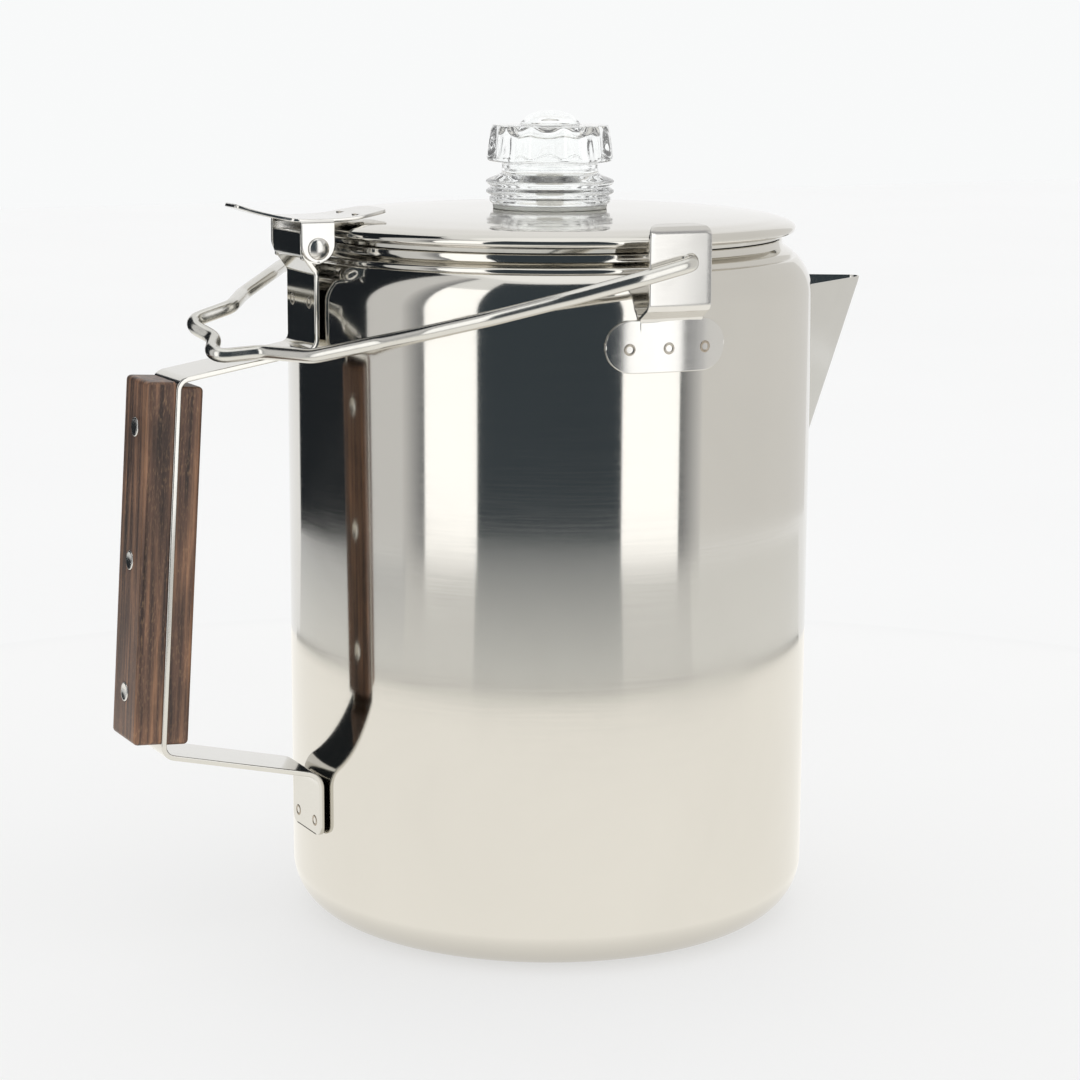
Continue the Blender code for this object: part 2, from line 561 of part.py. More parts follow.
# ---- bail ears ------------------------------------------------------------------------
plateR0 = BODY_R + GAP
plateR1 = plateR0 + TONGUE_T
stadium = arc(EAR_SHIFT + EAR_PLATE_W / 2 - EAR_PLATE_H / 2, EAR_PLATE_Z, EAR_PLATE_H / 2, -90, 90, 10)
stadium += arc(EAR_SHIFT - EAR_PLATE_W / 2 + EAR_PLATE_H / 2, EAR_PLATE_Z, EAR_PLATE_H / 2, 90, 270, 10)
welds = [-10.9, 0.0, 10.9]
for name, sgn, tongueUp in (("near", -1, TONGUE_UP), ("far", 1, TONGUE_UP_FAR)):
    tongueTop = BAIL_Z + tongueUp + 0.8
    earPath = rounded(
        [(-(plateR0 + TONGUE_T / 2), EAR_PLATE_Z - 1.0), (-(plateR0 + TONGUE_T / 2), EAR_PLATE_Z + 7.6),
         (-TONGUE_Y, EAR_PLATE_Z + 10.4), (-TONGUE_Y, BAIL_Z + tongueUp), (-TONGUE_Y + 3.2, tongueTop)],
        [1.8, 1.8, 2.2], seg=4)
    ring = turned("bail_ear_" + name, [
        (r, EAR_PLATE_Z + dz) for r, dz in ((plateR1, 17), (plateR1, -17), (plateR0, -17), (plateR0, 17))],
                  steel("bail ear steel " + name, 0.66, 0.2), steps=96)
    slab = standing(flat("ear_plate_" + name, stadium, 60, cutter=True), sgn * (BODY_R + 10))
    cut(ring, slab, "INTERSECT")
    verts, faces = [], []
    half = TONGUE_W / 2
    for y, z in earPath:
        inset = max(0.0, 1.2 - (tongueTop - z)) * 1.2
        for reach in (inset - half, half - inset):
            verts.append((EAR_SHIFT + 0.9 + reach, -sgn * y, z))
    for i in range(len(earPath) - 1):
        f = (2 * i, 2 * i + 1, 2 * i + 3, 2 * i + 2)
        faces.append(f if sgn < 0 else f[::-1])
    tongue = add(meshObject("tongue_" + name, verts, faces))
    s = tongue.modifiers.new("Sheet", "SOLIDIFY")
    s.thickness = TONGUE_T * MM
    s.offset = 0.0
    s.use_even_offset = True
    join(ring, tongue)
    cut(ring, pins("bail_hole_" + name, [((0, sgn * TONGUE_Y, BAIL_Z), (0, 1, 0))],
                   BAIL_WIRE_R + FIT, 8, 24))
    holes = []
    for x in welds:
        a = math.asin((x + EAR_SHIFT) / BODY_R)
        holes.append(((BODY_R * math.sin(a), sgn * BODY_R * math.cos(a), EAR_PLATE_Z - 0.6),
                      (math.sin(a), sgn * math.cos(a), 0)))
    cut(ring, pins("ear_weld_holes_" + name, holes, weldR + GAP, 8, 12))
    for k, (p, way) in enumerate(holes):
        label = "ear_weld_%s_%d" % (name, k + 1)
        base = Vector((way[0] * (BODY_R + GAP + 0.03), way[1] * (BODY_R + GAP + 0.03), p[2]))
        weld(label, base, way, 1.35, steel(label.replace("_", " ") + " steel", 0.66, 0.22))

# ---- bail wire ------------------------------------------------------------------------
# Half of the wire as it lies on the handle's arm. Round the pot: degrees from the pivot line,
# distance from the wall, height from the pivot on the near side and on the far side.
roundPot = [(10.9, 9.4, -3.6, -3.2), (24.0, 8.6, -8.6, -6.3), (37.8, 6.6, -14.0, -8.4),
            (50.0, 5.9, -18.3, -9.6), (60.3, 5.6, -21.7, -10.6), (72.8, 12.9, -26.3, -14.5)]
overArm = [(18.0, 11.0, -26.3, -16.2), (32.0, 8.8, -27.3, -19.8)]   # distance from the wall, y, heights
bailHalf = [(-(BODY_R + d) * math.sin(math.radians(a)), (BODY_R + d) * math.cos(math.radians(a)),
             BAIL_Z + near, BAIL_Z + far) for a, d, near, far in roundPot]
bailHalf += [(-(BODY_R + d), y, BAIL_Z + near, BAIL_Z + far) for d, y, near, far in overArm]
M = (-(BODY_R + 26.8), 0.0, BAIL_Z - 23.4)
pivotNear = [(0, -(TONGUE_Y - 2.8), BAIL_Z), (0, -BAIL_Y, BAIL_Z)]
pivotFar = [(0, BAIL_Y, BAIL_Z), (0, TONGUE_Y - 2.8, BAIL_Z)]
nearSide = [(x, -y, z) for x, y, z, _ in bailHalf]
farSide = [(x, y, z) for x, y, _, z in reversed(bailHalf)]
bailPath = rounded([Vector(p) for p in pivotNear + nearSide + [M] + farSide + pivotFar],
                   [2.6, 12, 22, 22, 14, 7, 5, 5, 3.2, 3.4, 3.2, 5, 5, 7, 14, 22, 22, 12, 2.6], seg=3)
cu = bpy.data.curves.new("bail", "CURVE")
cu.dimensions = "3D"
cu.bevel_depth = BAIL_WIRE_R * MM
cu.bevel_resolution = 2
cu.use_fill_caps = True
sp = cu.splines.new("POLY")
sp.points.add(len(bailPath) - 1)
for p, c in zip(sp.points, bailPath):
    p.co = (c[0] * MM, c[1] * MM, c[2] * MM, 1)
tmp = bpy.data.objects.new("bail_line", cu)
bpy.context.scene.collection.objects.link(tmp)
dg = bpy.context.evaluated_depsgraph_get()
me = bpy.data.meshes.new_from_object(tmp.evaluated_get(dg))
bpy.data.objects.remove(tmp, do_unlink=True)
bpy.data.curves.remove(cu)
bm = bmesh.new()
bm.from_mesh(me)
bmesh.ops.remove_doubles(bm, verts=bm.verts, dist=0.000001)
bmesh.ops.recalc_face_normals(bm, faces=bm.faces)
bm.to_mesh(me)
bm.free()
bail = add(bpy.data.objects.new("bail", me), steel("bail wire steel", 0.68, 0.12))
smooth(bail)
moved(bail, (0, 0, BAIL_Z))

# ---- glass knob, its seal and the ring under the lid ------------------------------------
sealT = 0.8
knobLow = LID_TOP + GAP + sealT + GAP
knobTop = knobLow + KNOB_H
ringTop = LID_TOP - LID_SHEET - GAP
ringLow = ringTop - 1.4
lugTop = ringLow - GAP
knobEnd = lugTop - 2.2
K = KNOB_R
knobProfile = [
    (0, knobTop), (3.4, knobTop - 0.35), (6.2, knobTop - 1.5), (8.2, knobTop - 3.2),
    (9.0, knobTop - 3.9), (K - 2.0, knobTop - 4.1), (K - 1.3, knobTop - 4.6),
    (K, knobTop - 13.2), (K - 0.5, knobTop - 14.2), (K - 4.2, knobTop - 14.7),
    (K - 4.5, knobTop - 15.4), (K - 4.5, knobLow + 8.6), (K - 3.6, knobLow + 7.9),
    (K, knobLow + 6.6), (K, knobLow + 5.6), (K - 1.3, knobLow + 4.6), (K, knobLow + 3.8),
    (K, knobLow + 2.9), (K - 1.6, knobLow + 2.2), (K - 1.0, knobLow + 1.6), (K - 1.7, knobLow),
    (KNOB_NECK_R, knobLow), (KNOB_NECK_R, knobEnd + 0.4), (KNOB_NECK_R - 0.4, knobEnd),
    (KNOB_BORE + 0.4, knobEnd), (KNOB_BORE, knobEnd + 0.4), (KNOB_BORE, knobTop - 8.0),
    (KNOB_BORE - 1.2, knobTop - 6.2), (KNOB_BORE - 4.0, knobTop - 4.6), (3.0, knobTop - 3.5),
    (0, knobTop - 3.2)]
glass = material("knob glass", (0.95, 0.97, 0.96), 0.0, 0.03, 1.0, 1.5)
knob = baked(turned("glass_knob", knobProfile, glass, steps=36, closed=False))
fluteR = KNOB_R + 6.0
flutes = [((fluteR * math.cos(math.tau * (k + 0.5) / 12), fluteR * math.sin(math.tau * (k + 0.5) / 12),
           knobTop - 9.5), (0, 0, 1)) for k in range(12)]
cut(knob, pins("knob_flutes", flutes, 7.2, 10.2, 20))
lugs = []
for k in range(3):
    a = math.radians(k * 120)
    obj = block("knob_lug_%d" % k, (KNOB_NECK_R - 0.8, -3.0, lugTop - 1.6),
                (KNOB_NECK_R + 1.7, 3.0, lugTop))
    obj.data.transform(Matrix.Rotation(a, 4, "Z"))
    cut(knob, obj, "UNION")
seal = turned("knob_seal", [
    (K - 2.2, LID_TOP + GAP + sealT), (K - 2.0, LID_TOP + GAP + sealT - 0.2),
    (K - 2.0, LID_TOP + GAP), (KNOB_NECK_R + 0.3, LID_TOP + GAP),
    (KNOB_NECK_R + 0.3, LID_TOP + GAP + sealT)],
    material("clear silicone seal", (0.8, 0.82, 0.82), 0.0, 0.4), steps=36)
lockRing = turned("knob_lock_ring", [
    (KNOB_NECK_R + 7.0, ringTop), (KNOB_NECK_R + 7.0, ringLow + 0.2), (KNOB_NECK_R + 6.8, ringLow),
    (KNOB_NECK_R + 0.45, ringLow), (KNOB_NECK_R + 0.45, ringTop)],
    steel("lock ring steel", 0.6, 0.2), steps=36)
for k in range(3):
    a = math.radians(60 + k * 120)
    obj = block("ring_notch_%d" % k, (KNOB_NECK_R - 2, -3.6, ringLow - 3),
                (KNOB_NECK_R + 2.3, 3.6, ringTop + 3))
    obj.data.transform(Matrix.Rotation(a, 4, "Z"))
    cut(lockRing, obj)
for obj in (seal, lockRing):
    moved(baked(obj), hinge)

# ---- pump: foot, stem, basket rest ------------------------------------------------------
footLow = BASE_T + GAP
FR = PUMP_FOOT_R
footTop = footLow + PUMP_FOOT_H
pumpFoot = turned("pump_foot", [
    (STEM_R + 1.4, footTop + 4), (STEM_R + 1.4, footTop + 0.6), (STEM_R + 3.0, footTop - 1.0),
    (FR - 8, footLow + 5.0), (FR - 0.8, footLow + 2.6), (FR, footLow + 1.8), (FR, footLow),
    (FR - 1.0, footLow), (FR - 1.0, footLow + 1.4), (FR - 2.0, footLow + 1.9),
    (FR - 8.6, footLow + 4.0), (STEM_R + 2.2, footTop - 2.0), (STEM_R + GAP, footTop - 1.2),
    (STEM_R + GAP, footTop + 4)], steel("pump foot steel", 0.6, 0.2), steps=30)
notches = [((FR * math.cos(math.tau * k / 6), FR * math.sin(math.tau * k / 6), footLow - 0.6),
            (math.cos(math.tau * k / 6), math.sin(math.tau * k / 6), 0)) for k in range(6)]
cut(pumpFoot, pins("foot_notches", notches, 2.0, 8, 16))
stem = turned("pump_stem", [
    (STEM_R - 0.2, STEM_TOP), (STEM_R, STEM_TOP - 0.2), (STEM_R, footTop - 1.4),
    (STEM_R - 0.2, footTop - 1.6), (STEM_BORE, footTop - 1.6), (STEM_BORE, STEM_TOP)],
    steel("pump stem steel", 0.62, 0.16), steps=24)
restTop = BASKET_Z - GAP
rest = turned("basket_rest", [
    (STEM_R + 2.6, restTop), (STEM_R + 3.0, restTop - 0.4), (STEM_R + 3.0, restTop - 1.6),
    (STEM_R + 1.4, restTop - 3.4), (STEM_R + GAP, restTop - 3.4), (STEM_R + GAP, restTop)],
    steel("basket rest steel", 0.6, 0.2), steps=24)

# ---- basket and spreader ----------------------------------------------------------------
BR, BT, BZ = BASKET_R, BASKET_T, BASKET_Z
basketTop = BZ + BASKET_H
bore = STEM_R + FIT
basket = turned("coffee_basket", [
    (BR + 1.6, basketTop), (BR + 2.0, basketTop - 0.5), (BR + 1.5, basketTop - BT),
    (BR + 0.4, basketTop - BT - 0.2), (BR, basketTop - BT - 1.0), (BR, BZ + 3.0),
    (BR - 0.9, BZ + 0.9), (BR - 3.0, BZ), (bore, BZ), (bore, BZ + 6.0), (bore + BT, BZ + 6.0),
    (bore + BT, BZ + BT), (BR - 3.2, BZ + BT), (BR - 1.6, BZ + 1.6), (BR - BT, BZ + 3.4),
    (BR - BT, basketTop - 1.0), (BR - 0.2, basketTop)],
    steel("basket steel", 0.6, 0.2), steps=30)
floorHoles = []
for ring in range(1 + int((BR - 26) / 9)):
    r, n = 14 + 9 * ring, 6 + 4 * ring
    for k in range(n):
        a = math.tau * (k + 0.5 * (ring % 2)) / n
        floorHoles.append(((r * math.cos(a), r * math.sin(a), BZ), (0, 0, 1)))
cut(basket, pins("basket_holes", floorHoles, 1.2, 6, 6))
coverLow = basketTop - COVER_T - 2.2
coverR = BR - BT - FIT
cover = turned("spreader_cover", [
    (bore + 2.0, coverLow + 3.4), (coverR - 6.0, coverLow + 2.0), (coverR - 4.0, coverLow + COVER_T),
    (coverR - 0.2, coverLow + COVER_T), (coverR, coverLow + COVER_T - 0.2), (coverR, coverLow + 0.2),
    (coverR - 0.2, coverLow), (coverR - 4.2, coverLow), (coverR - 6.2, coverLow + 1.1),
    (bore + 1.2, coverLow + 2.5), (bore, coverLow + 2.5), (bore, coverLow + 5.2),
    (bore + 0.9, coverLow + 5.2)],
    steel("spreader steel", 0.6, 0.2), steps=30)
coverHoles = []
for ring in range(1 + int((coverR - 24) / 8)):
    r, n = 12 + 8 * ring, 6 + 5 * ring
    for k in range(n):
        a = math.tau * (k + 0.25) / n
        coverHoles.append(((r * math.cos(a), r * math.sin(a), coverLow + 2), (0, 0, 1)))
cut(cover, pins("spreader_holes", coverHoles, 1.0, 10, 6))
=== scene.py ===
import json
import math

import bmesh
import bpy
from mathutils import Matrix, Vector


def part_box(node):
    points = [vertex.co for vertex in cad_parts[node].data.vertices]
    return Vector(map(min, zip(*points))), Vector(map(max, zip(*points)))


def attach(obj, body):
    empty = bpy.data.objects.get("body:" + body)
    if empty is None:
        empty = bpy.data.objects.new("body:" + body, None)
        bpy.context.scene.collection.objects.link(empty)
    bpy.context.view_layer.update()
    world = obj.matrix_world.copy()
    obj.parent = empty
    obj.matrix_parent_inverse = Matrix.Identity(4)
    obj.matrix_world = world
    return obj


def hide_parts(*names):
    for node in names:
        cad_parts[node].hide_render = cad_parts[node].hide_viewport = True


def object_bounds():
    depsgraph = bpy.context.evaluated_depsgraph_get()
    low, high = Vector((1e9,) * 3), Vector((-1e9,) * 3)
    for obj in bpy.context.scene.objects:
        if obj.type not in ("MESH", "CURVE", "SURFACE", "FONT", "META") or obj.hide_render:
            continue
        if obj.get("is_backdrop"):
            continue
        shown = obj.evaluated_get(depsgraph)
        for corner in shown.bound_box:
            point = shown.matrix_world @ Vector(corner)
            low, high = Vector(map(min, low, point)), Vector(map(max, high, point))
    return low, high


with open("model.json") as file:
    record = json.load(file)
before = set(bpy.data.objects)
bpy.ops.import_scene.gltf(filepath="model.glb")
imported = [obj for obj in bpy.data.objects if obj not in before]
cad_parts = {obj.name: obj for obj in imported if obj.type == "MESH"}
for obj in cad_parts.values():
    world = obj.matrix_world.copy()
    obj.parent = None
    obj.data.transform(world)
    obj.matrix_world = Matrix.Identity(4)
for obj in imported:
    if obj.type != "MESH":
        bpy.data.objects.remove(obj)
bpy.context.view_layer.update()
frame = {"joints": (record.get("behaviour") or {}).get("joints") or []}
mm = 0.001


def boxOf(node):
    low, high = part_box(node)
    return low / mm, high / mm


def jointSpot(name):
    joint = next(j for j in frame["joints"] if j["name"] == name)
    return Vector(joint["pos_m"]) / mm


potHigh = boxOf("pot_body")[1]
lidHigh = boxOf("lid")[1]
knobLow, knobHigh = boxOf("glass_knob")
hingeSpot = jointSpot("lid_hinge")
bailSpot = jointSpot("bail_swing")
potRadius, rimTop = potHigh.y, potHigh.z
lidRadius, lidTop = lidHigh.y, lidHigh.z

# shape helpers, all in millimetres


def roundCorners(corners, steps=6, closed=False):
    # each corner is (point, radius); a radius makes an arc of so many steps
    points = [Vector(p) for p, _ in corners]
    count, out = len(points), []
    for i, (_, radius) in enumerate(corners):
        here = points[i]
        if radius <= 0 or (not closed and i in (0, count - 1)):
            out.append(here)
            continue
        before, after = points[i - 1], points[(i + 1) % count]
        u, v = (before - here).normalized(), (after - here).normalized()
        angle = u.angle(v)
        if angle > math.pi - 0.02:
            out.append(here)
            continue
        reach = min(radius / math.tan(angle / 2), 0.49 * (before - here).length,
                    0.49 * (after - here).length)
        radius = reach * math.tan(angle / 2)
        middle = here + (u + v).normalized() * (radius / math.sin(angle / 2))
        first, last = here + u * reach - middle, here + v * reach - middle
        turn = first.angle(last)
        side = (last - first * math.cos(turn)) / math.sin(turn)
        for k in range(steps + 1):
            f = turn * k / steps
            out.append(middle + first * math.cos(f) + side * math.sin(f))
    return out


def smoothRun(rows, steps=6):
    # a soft curve through every row of numbers
    rows = [Vector(r) for r in rows]
    out = []
    for i in range(len(rows) - 1):
        a, b, c, d = rows[max(i - 1, 0)], rows[i], rows[i + 1], rows[min(i + 2, len(rows) - 1)]
        for k in range(steps):
            t = k / steps
            out.append(0.5 * ((2 * b) + (c - a) * t + (2 * a - 5 * b + 4 * c - d) * t * t
                              + (3 * b - a - 3 * c + d) * t ** 3))
    return out + [rows[-1]]


def relax(points, spacing, rounds):
    # the same line with even spacing, its kinks eased the way real wire bends
    out, left = [points[0]], 0.0
    for a, b in zip(points, points[1:]):
        long, at = (b - a).length, spacing - left
        while at < long:
            out.append(a.lerp(b, at / long))
            at += spacing
        left = (left + long) % spacing
    out.append(points[-1])
    for _ in range(rounds):
        out = [out[0]] + [(a + b * 2 + c) / 4 for a, b, c in zip(out, out[1:], out[2:])] + [out[-1]]
    return out


def arc(cx, cy, radius, start, end, steps):
    turns = [math.radians(start + (end - start) * k / steps) for k in range(steps + 1)]
    return [(cx + radius * math.cos(t), cy + radius * math.sin(t)) for t in turns]


def lathe(profile, steps=128, closed=False, radiusAt=None):
    # profile of (radius, height) turned round the Z axis
    verts, faces, rings = [], [], []
    for r, z in profile:
        if r < 1e-6:
            rings.append([len(verts)] * steps)
            verts.append(Vector((0, 0, z)))
            continue
        rings.append(list(range(len(verts), len(verts) + steps)))
        for k in range(steps):
            turn = math.tau * k / steps
            real = radiusAt(r, z, turn) if radiusAt else r
            verts.append(Vector((real * math.cos(turn), real * math.sin(turn), z)))
    pairs = list(zip(rings, rings[1:])) + ([(rings[-1], rings[0])] if closed else [])
    for one, two in pairs:
        for k in range(steps):
            m = (k + 1) % steps
            face = dict.fromkeys((one[k], two[k], two[m], one[m]))
            if len(face) > 2:
                faces.append(tuple(face))
    return verts, faces


def sampleSheet(rows, cornerStart=0.0, cornerEnd=0.0, steps=8):
    # rows of (point, half width) along a sheet; its end corners are rounded by that radius
    lengths = [0.0]
    for (a, _), (b, _) in zip(rows, rows[1:]):
        lengths.append(lengths[-1] + (b - a).length)
    total = lengths[-1]
    marks = set(lengths)
    for k in range(1, steps + 1):
        share = 1 - math.cos(math.pi / 2 * k / steps)
        marks |= {cornerStart * share, total - cornerEnd * share}
    marks = sorted(marks)
    marks = [m for i, m in enumerate(marks) if i == 0 or m - marks[i - 1] > 1e-3]
    out = []
    for s in marks:
        i = max(k for k in range(len(lengths) - 1) if lengths[k] <= s + 1e-9)
        f = min(1.0, (s - lengths[i]) / max(lengths[i + 1] - lengths[i], 1e-9))
        half = rows[i][1] * (1 - f) + rows[i + 1][1] * f
        for radius, gap in ((cornerStart, s), (cornerEnd, total - s)):
            if gap < radius:
                half -= radius - math.sqrt(max(radius ** 2 - (radius - gap) ** 2, 0))
        out.append((rows[i][0].lerp(rows[i + 1][0], f), half))
    return out


def sheet(rows, acrossWay, thick, edge=0.3, edgeSteps=3, acrossSteps=1, normals=None):
    # closed sheet metal along rows of (centre, half width), with rounded edges all round
    across = Vector(acrossWay).normalized()
    last = len(rows) - 1
    rings = []
    for i, (centre, half) in enumerate(rows):
        along = (rows[min(i + 1, last)][0] - rows[max(i - 1, 0)][0]).normalized()
        normal = normals[i] if normals else across.cross(along).normalized()
        inset = max(half - edge, 0.02)
        back = {0: 1, last: -1}.get(i, 0)
        turns = range(edgeSteps, -1, -1) if i == 0 else range(edgeSteps + 1) if i == last else [0]
        for t in turns:
            tilt = math.pi / 2 * t / edgeSteps
            small = edge * math.cos(tilt) if back else edge
            shift = along * (-back * edge * math.sin(tilt)) + along * (back * edge if back else 0)
            ring = []
            for sx, sy in ((1, 1), (-1, 1), (-1, -1), (1, -1)):
                corner = centre + shift + across * (sx * inset) + normal * (sy * (thick / 2 - edge))
                for k in range(edgeSteps + 1):
                    f = math.pi / 2 * k / edgeSteps
                    c, s = (math.cos(f), math.sin(f)) if sx * sy > 0 else (math.sin(f), math.cos(f))
                    ring.append(corner + across * (sx * small * c) + normal * (sy * small * s))
                if sx * sy > 0:
                    for k in range(1, acrossSteps):
                        f = 1 - 2 * k / acrossSteps
                        ring.append(centre + shift + across * (sx * inset * f)
                                    + normal * (sy * (thick / 2 - edge + small)))
            rings.append(ring)
    return skin(rings)


def skin(rings):
    # quads between rings of the same length, with both ends filled
    verts = [v for ring in rings for v in ring]
    n = len(rings[0])
    faces = [(a * n + b, a * n + (b + 1) % n, (a + 1) * n + (b + 1) % n, (a + 1) * n + b)
             for a in range(len(rings) - 1) for b in range(n)]
    faces += [tuple(range(n))[::-1], tuple((len(rings) - 1) * n + b for b in range(n))]
    return verts, faces


def tube(path, radius, sides=16, roundEnds=True, radiusAt=None):
    # round wire along a path, its frame carried along so that it never twists
    path = [Vector(p) for p in path]
    last = len(path) - 1
    side, rings = None, []
    for i, point in enumerate(path):
        along = (path[min(i + 1, last)] - path[max(i - 1, 0)]).normalized()
        side = along.orthogonal() if side is None else side - along * side.dot(along)
        side.normalize()
        up = along.cross(side)
        size = radiusAt(i / last) if radiusAt else radius
        sizes = [(0.0, size)]
        if roundEnds and i in (0, last):
            sizes = [(0.5 * size * (1 - math.cos(t)), size * math.sin(t)) for t in (0.35, 0.8, 1.2,
                                                                                    math.pi / 2)]
            sizes = [(s - 0.5 * size, r) for s, r in sizes]
            sizes = sizes if i == 0 else [(-s, r) for s, r in reversed(sizes)]
        for shift, r in sizes:
            rings.append([point + along * shift + side * (r * math.cos(math.tau * k / sides))
                          + up * (r * math.sin(math.tau * k / sides)) for k in range(sides)])
    return skin(rings)


def pin(centre, way, radius, length, sides=24):
    # plain round tool for drilling
    turn = Vector((0, 0, 1)).rotation_difference(Vector(way)).to_matrix()
    ends = [[Vector(centre) + turn @ Vector((radius * math.cos(math.tau * k / sides),
                                             radius * math.sin(math.tau * k / sides), z))
             for k in range(sides)] for z in (-length / 2, length / 2)]
    return skin(ends)


def placed(shape, matrix):
    return [matrix @ v for v in shape[0]], shape[1]


def makeMesh(name, shapes):
    build = bmesh.new()
    for verts, faces in shapes:
        made = [build.verts.new(v * mm) for v in verts]
        for face in faces:
            build.faces.new([made[i] for i in face])
    bmesh.ops.recalc_face_normals(build, faces=build.faces)
    mesh = bpy.data.meshes.new(name)
    build.to_mesh(mesh)
    build.free()
    return mesh


def shade(mesh, sharp):
    mesh.shade_smooth()
    mesh.set_sharp_from_angle(angle=math.radians(sharp))


def apply(obj):
    # turns the modifiers into plain mesh
    mesh = bpy.data.meshes.new_from_object(obj.evaluated_get(bpy.context.evaluated_depsgraph_get()))
    obj.modifiers.clear()
    build = bmesh.new()
    build.from_mesh(mesh)
    bmesh.ops.remove_doubles(build, verts=build.verts, dist=0.002 * mm)
    bmesh.ops.dissolve_degenerate(build, edges=build.edges, dist=0.002 * mm)
    build.to_mesh(mesh)
    build.free()
    obj.data = mesh


def boolean(obj, shapes, how="DIFFERENCE"):
    tool = bpy.data.objects.new("tool", makeMesh("tool", shapes))
    bpy.context.scene.collection.objects.link(tool)
    step = obj.modifiers.new(how.title(), "BOOLEAN")
    step.object, step.operation, step.solver = tool, how, "EXACT"
    apply(obj)
    bpy.data.objects.remove(tool, do_unlink=True)


def makePiece(name, shapes, material, body, stands=(), joins=(), holes=(), sharp=32, even=False):
    # one finished piece: shapes side by side, others joined on, holes drilled
    obj = bpy.data.objects.new(name, makeMesh(name, shapes))
    bpy.context.scene.collection.objects.link(obj)
    for shape in joins:
        boolean(obj, [shape], "UNION")
    if holes:
        boolean(obj, holes)
    obj.data.materials.clear()
    obj.data.materials.append(material)
    shade(obj.data, sharp)
    if even:
        flatten = obj.modifiers.new("FlatFaces", "WEIGHTED_NORMAL")
        flatten.keep_sharp = True
        flatten.weight = 80
    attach(obj, body)
    if stands:
        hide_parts(*stands)
    return obj


# materials


def linear(hexColour):
    parts = [int(hexColour[i:i + 2], 16) / 255 for i in (1, 3, 5)]
    return tuple(c / 12.92 if c <= 0.04045 else ((c + 0.055) / 1.055) ** 2.4 for c in parts) + (1.0,)


def addNode(tree, kind, values=None, links=None, **settings):
    node = tree.nodes.new("ShaderNode" + kind)
    for key, value in settings.items():
        setattr(node, key, value)
    for key, value in (values or {}).items():
        node.inputs[key].default_value = value
    for key, source in (links or {}).items():
        tree.links.new(source, node.inputs[key])
    return node


def newMaterial(name, **constants):
    made = bpy.data.materials.new(name)
    made.use_nodes = True
    shader = made.node_tree.nodes["Principled BSDF"]
    for key, value in constants.items():
        shader.inputs[key.replace("_", " ")].default_value = value
    return made, made.node_tree, shader


def stainless(name, look):
    # 18/8 stainless steel: a pale, slightly warm mirror. Fine scratches follow the way it was
    # polished, smear reflections across themselves and break up their edges.
    made, tree, shader = newMaterial(name, Metallic=1.0)
    shader.inputs["Anisotropic"].default_value = look["stretch"]
    shader.inputs["Anisotropic Rotation"].default_value = 0.25
    spot = addNode(tree, "TexCoord").outputs["Object"]
    if look["lay"] == "round":  # scratches run round the pot's axis
        split = addNode(tree, "SeparateXYZ", links={0: spot})
        flatSpot = addNode(tree, "CombineXYZ", links={0: split.outputs[0], 1: split.outputs[1]})
        reach = addNode(tree, "VectorMath", links={0: flatSpot.outputs[0]}, operation="LENGTH")
        climb = addNode(tree, "Math", links={0: split.outputs[2], 1: reach.outputs["Value"]},
                        operation="SUBTRACT")
        laySpot = addNode(tree, "CombineXYZ", links={0: split.outputs[0], 1: split.outputs[1],
                                                   2: climb.outputs[0]}).outputs[0]
        scale = (1 / look["scratchLong"], 1 / look["scratchLong"], 1 / look["scratchGap"])
        tangent = addNode(tree, "Tangent", direction_type="RADIAL", axis="Z")
        tree.links.new(tangent.outputs[0], shader.inputs["Tangent"])
    else:  # scratches run along one axis
        laySpot = spot
        scale = tuple(1 / look["scratchLong" if axis == look["lay"] else "scratchGap"] for axis in "XYZ")
    stretched = addNode(tree, "Mapping", {"Scale": [s / mm for s in scale]}, {"Vector": laySpot})
    scratches = addNode(tree, "TexNoise", {"Scale": 1.0, "Detail": 4.0, "Roughness": 0.65},
                        {"Vector": stretched.outputs[0]})
    waves = addNode(tree, "TexNoise", {"Scale": 1 / (look["waveSize"] * mm), "Detail": 1.0},
                    {"Vector": spot})
    smears = addNode(tree, "TexNoise", {"Scale": 1 / (look["smearSize"] * mm), "Detail": 5.0,
                                        "Roughness": 0.6, "Distortion": 0.6}, {"Vector": spot})
    # polish varies a little from scratch to scratch and where hands have been
    rough = addNode(tree, "MapRange",
                    {"From Min": 0.3, "From Max": 0.7, "To Min": look["rough"] - look["roughVary"],
                                       "To Max": look["rough"] + look["roughVary"]},
                                       {0: scratches.outputs[0]})
    smear = addNode(tree, "MapRange", {"From Min": 0.52, "From Max": 0.75, "To Min": 0.0,
                                       "To Max": look["smear"]}, {0: smears.outputs[0]})
    total = addNode(tree, "Math", links={0: rough.outputs[0], 1: smear.outputs[0]}, operation="ADD")
    tree.links.new(total.outputs[0], shader.inputs["Roughness"])
    tone = addNode(tree, "MixRGB", {1: linear(look["colour"]), 2: linear(look["dull"])},
                   {0: smears.outputs[0]})
    tree.links.new(tone.outputs[0], shader.inputs["Base Color"])
    big = addNode(tree, "Bump", {"Strength": 1.0, "Distance": look["waveDeep"] * mm},
                  {"Height": waves.outputs[0]})
    small = addNode(tree, "Bump", {"Strength": 1.0, "Distance": look["scratchDeep"] * mm},
                    {"Height": scratches.outputs[0], "Normal": big.outputs[0]})
    tree.links.new(small.outputs[0], shader.inputs["Normal"])
    return made


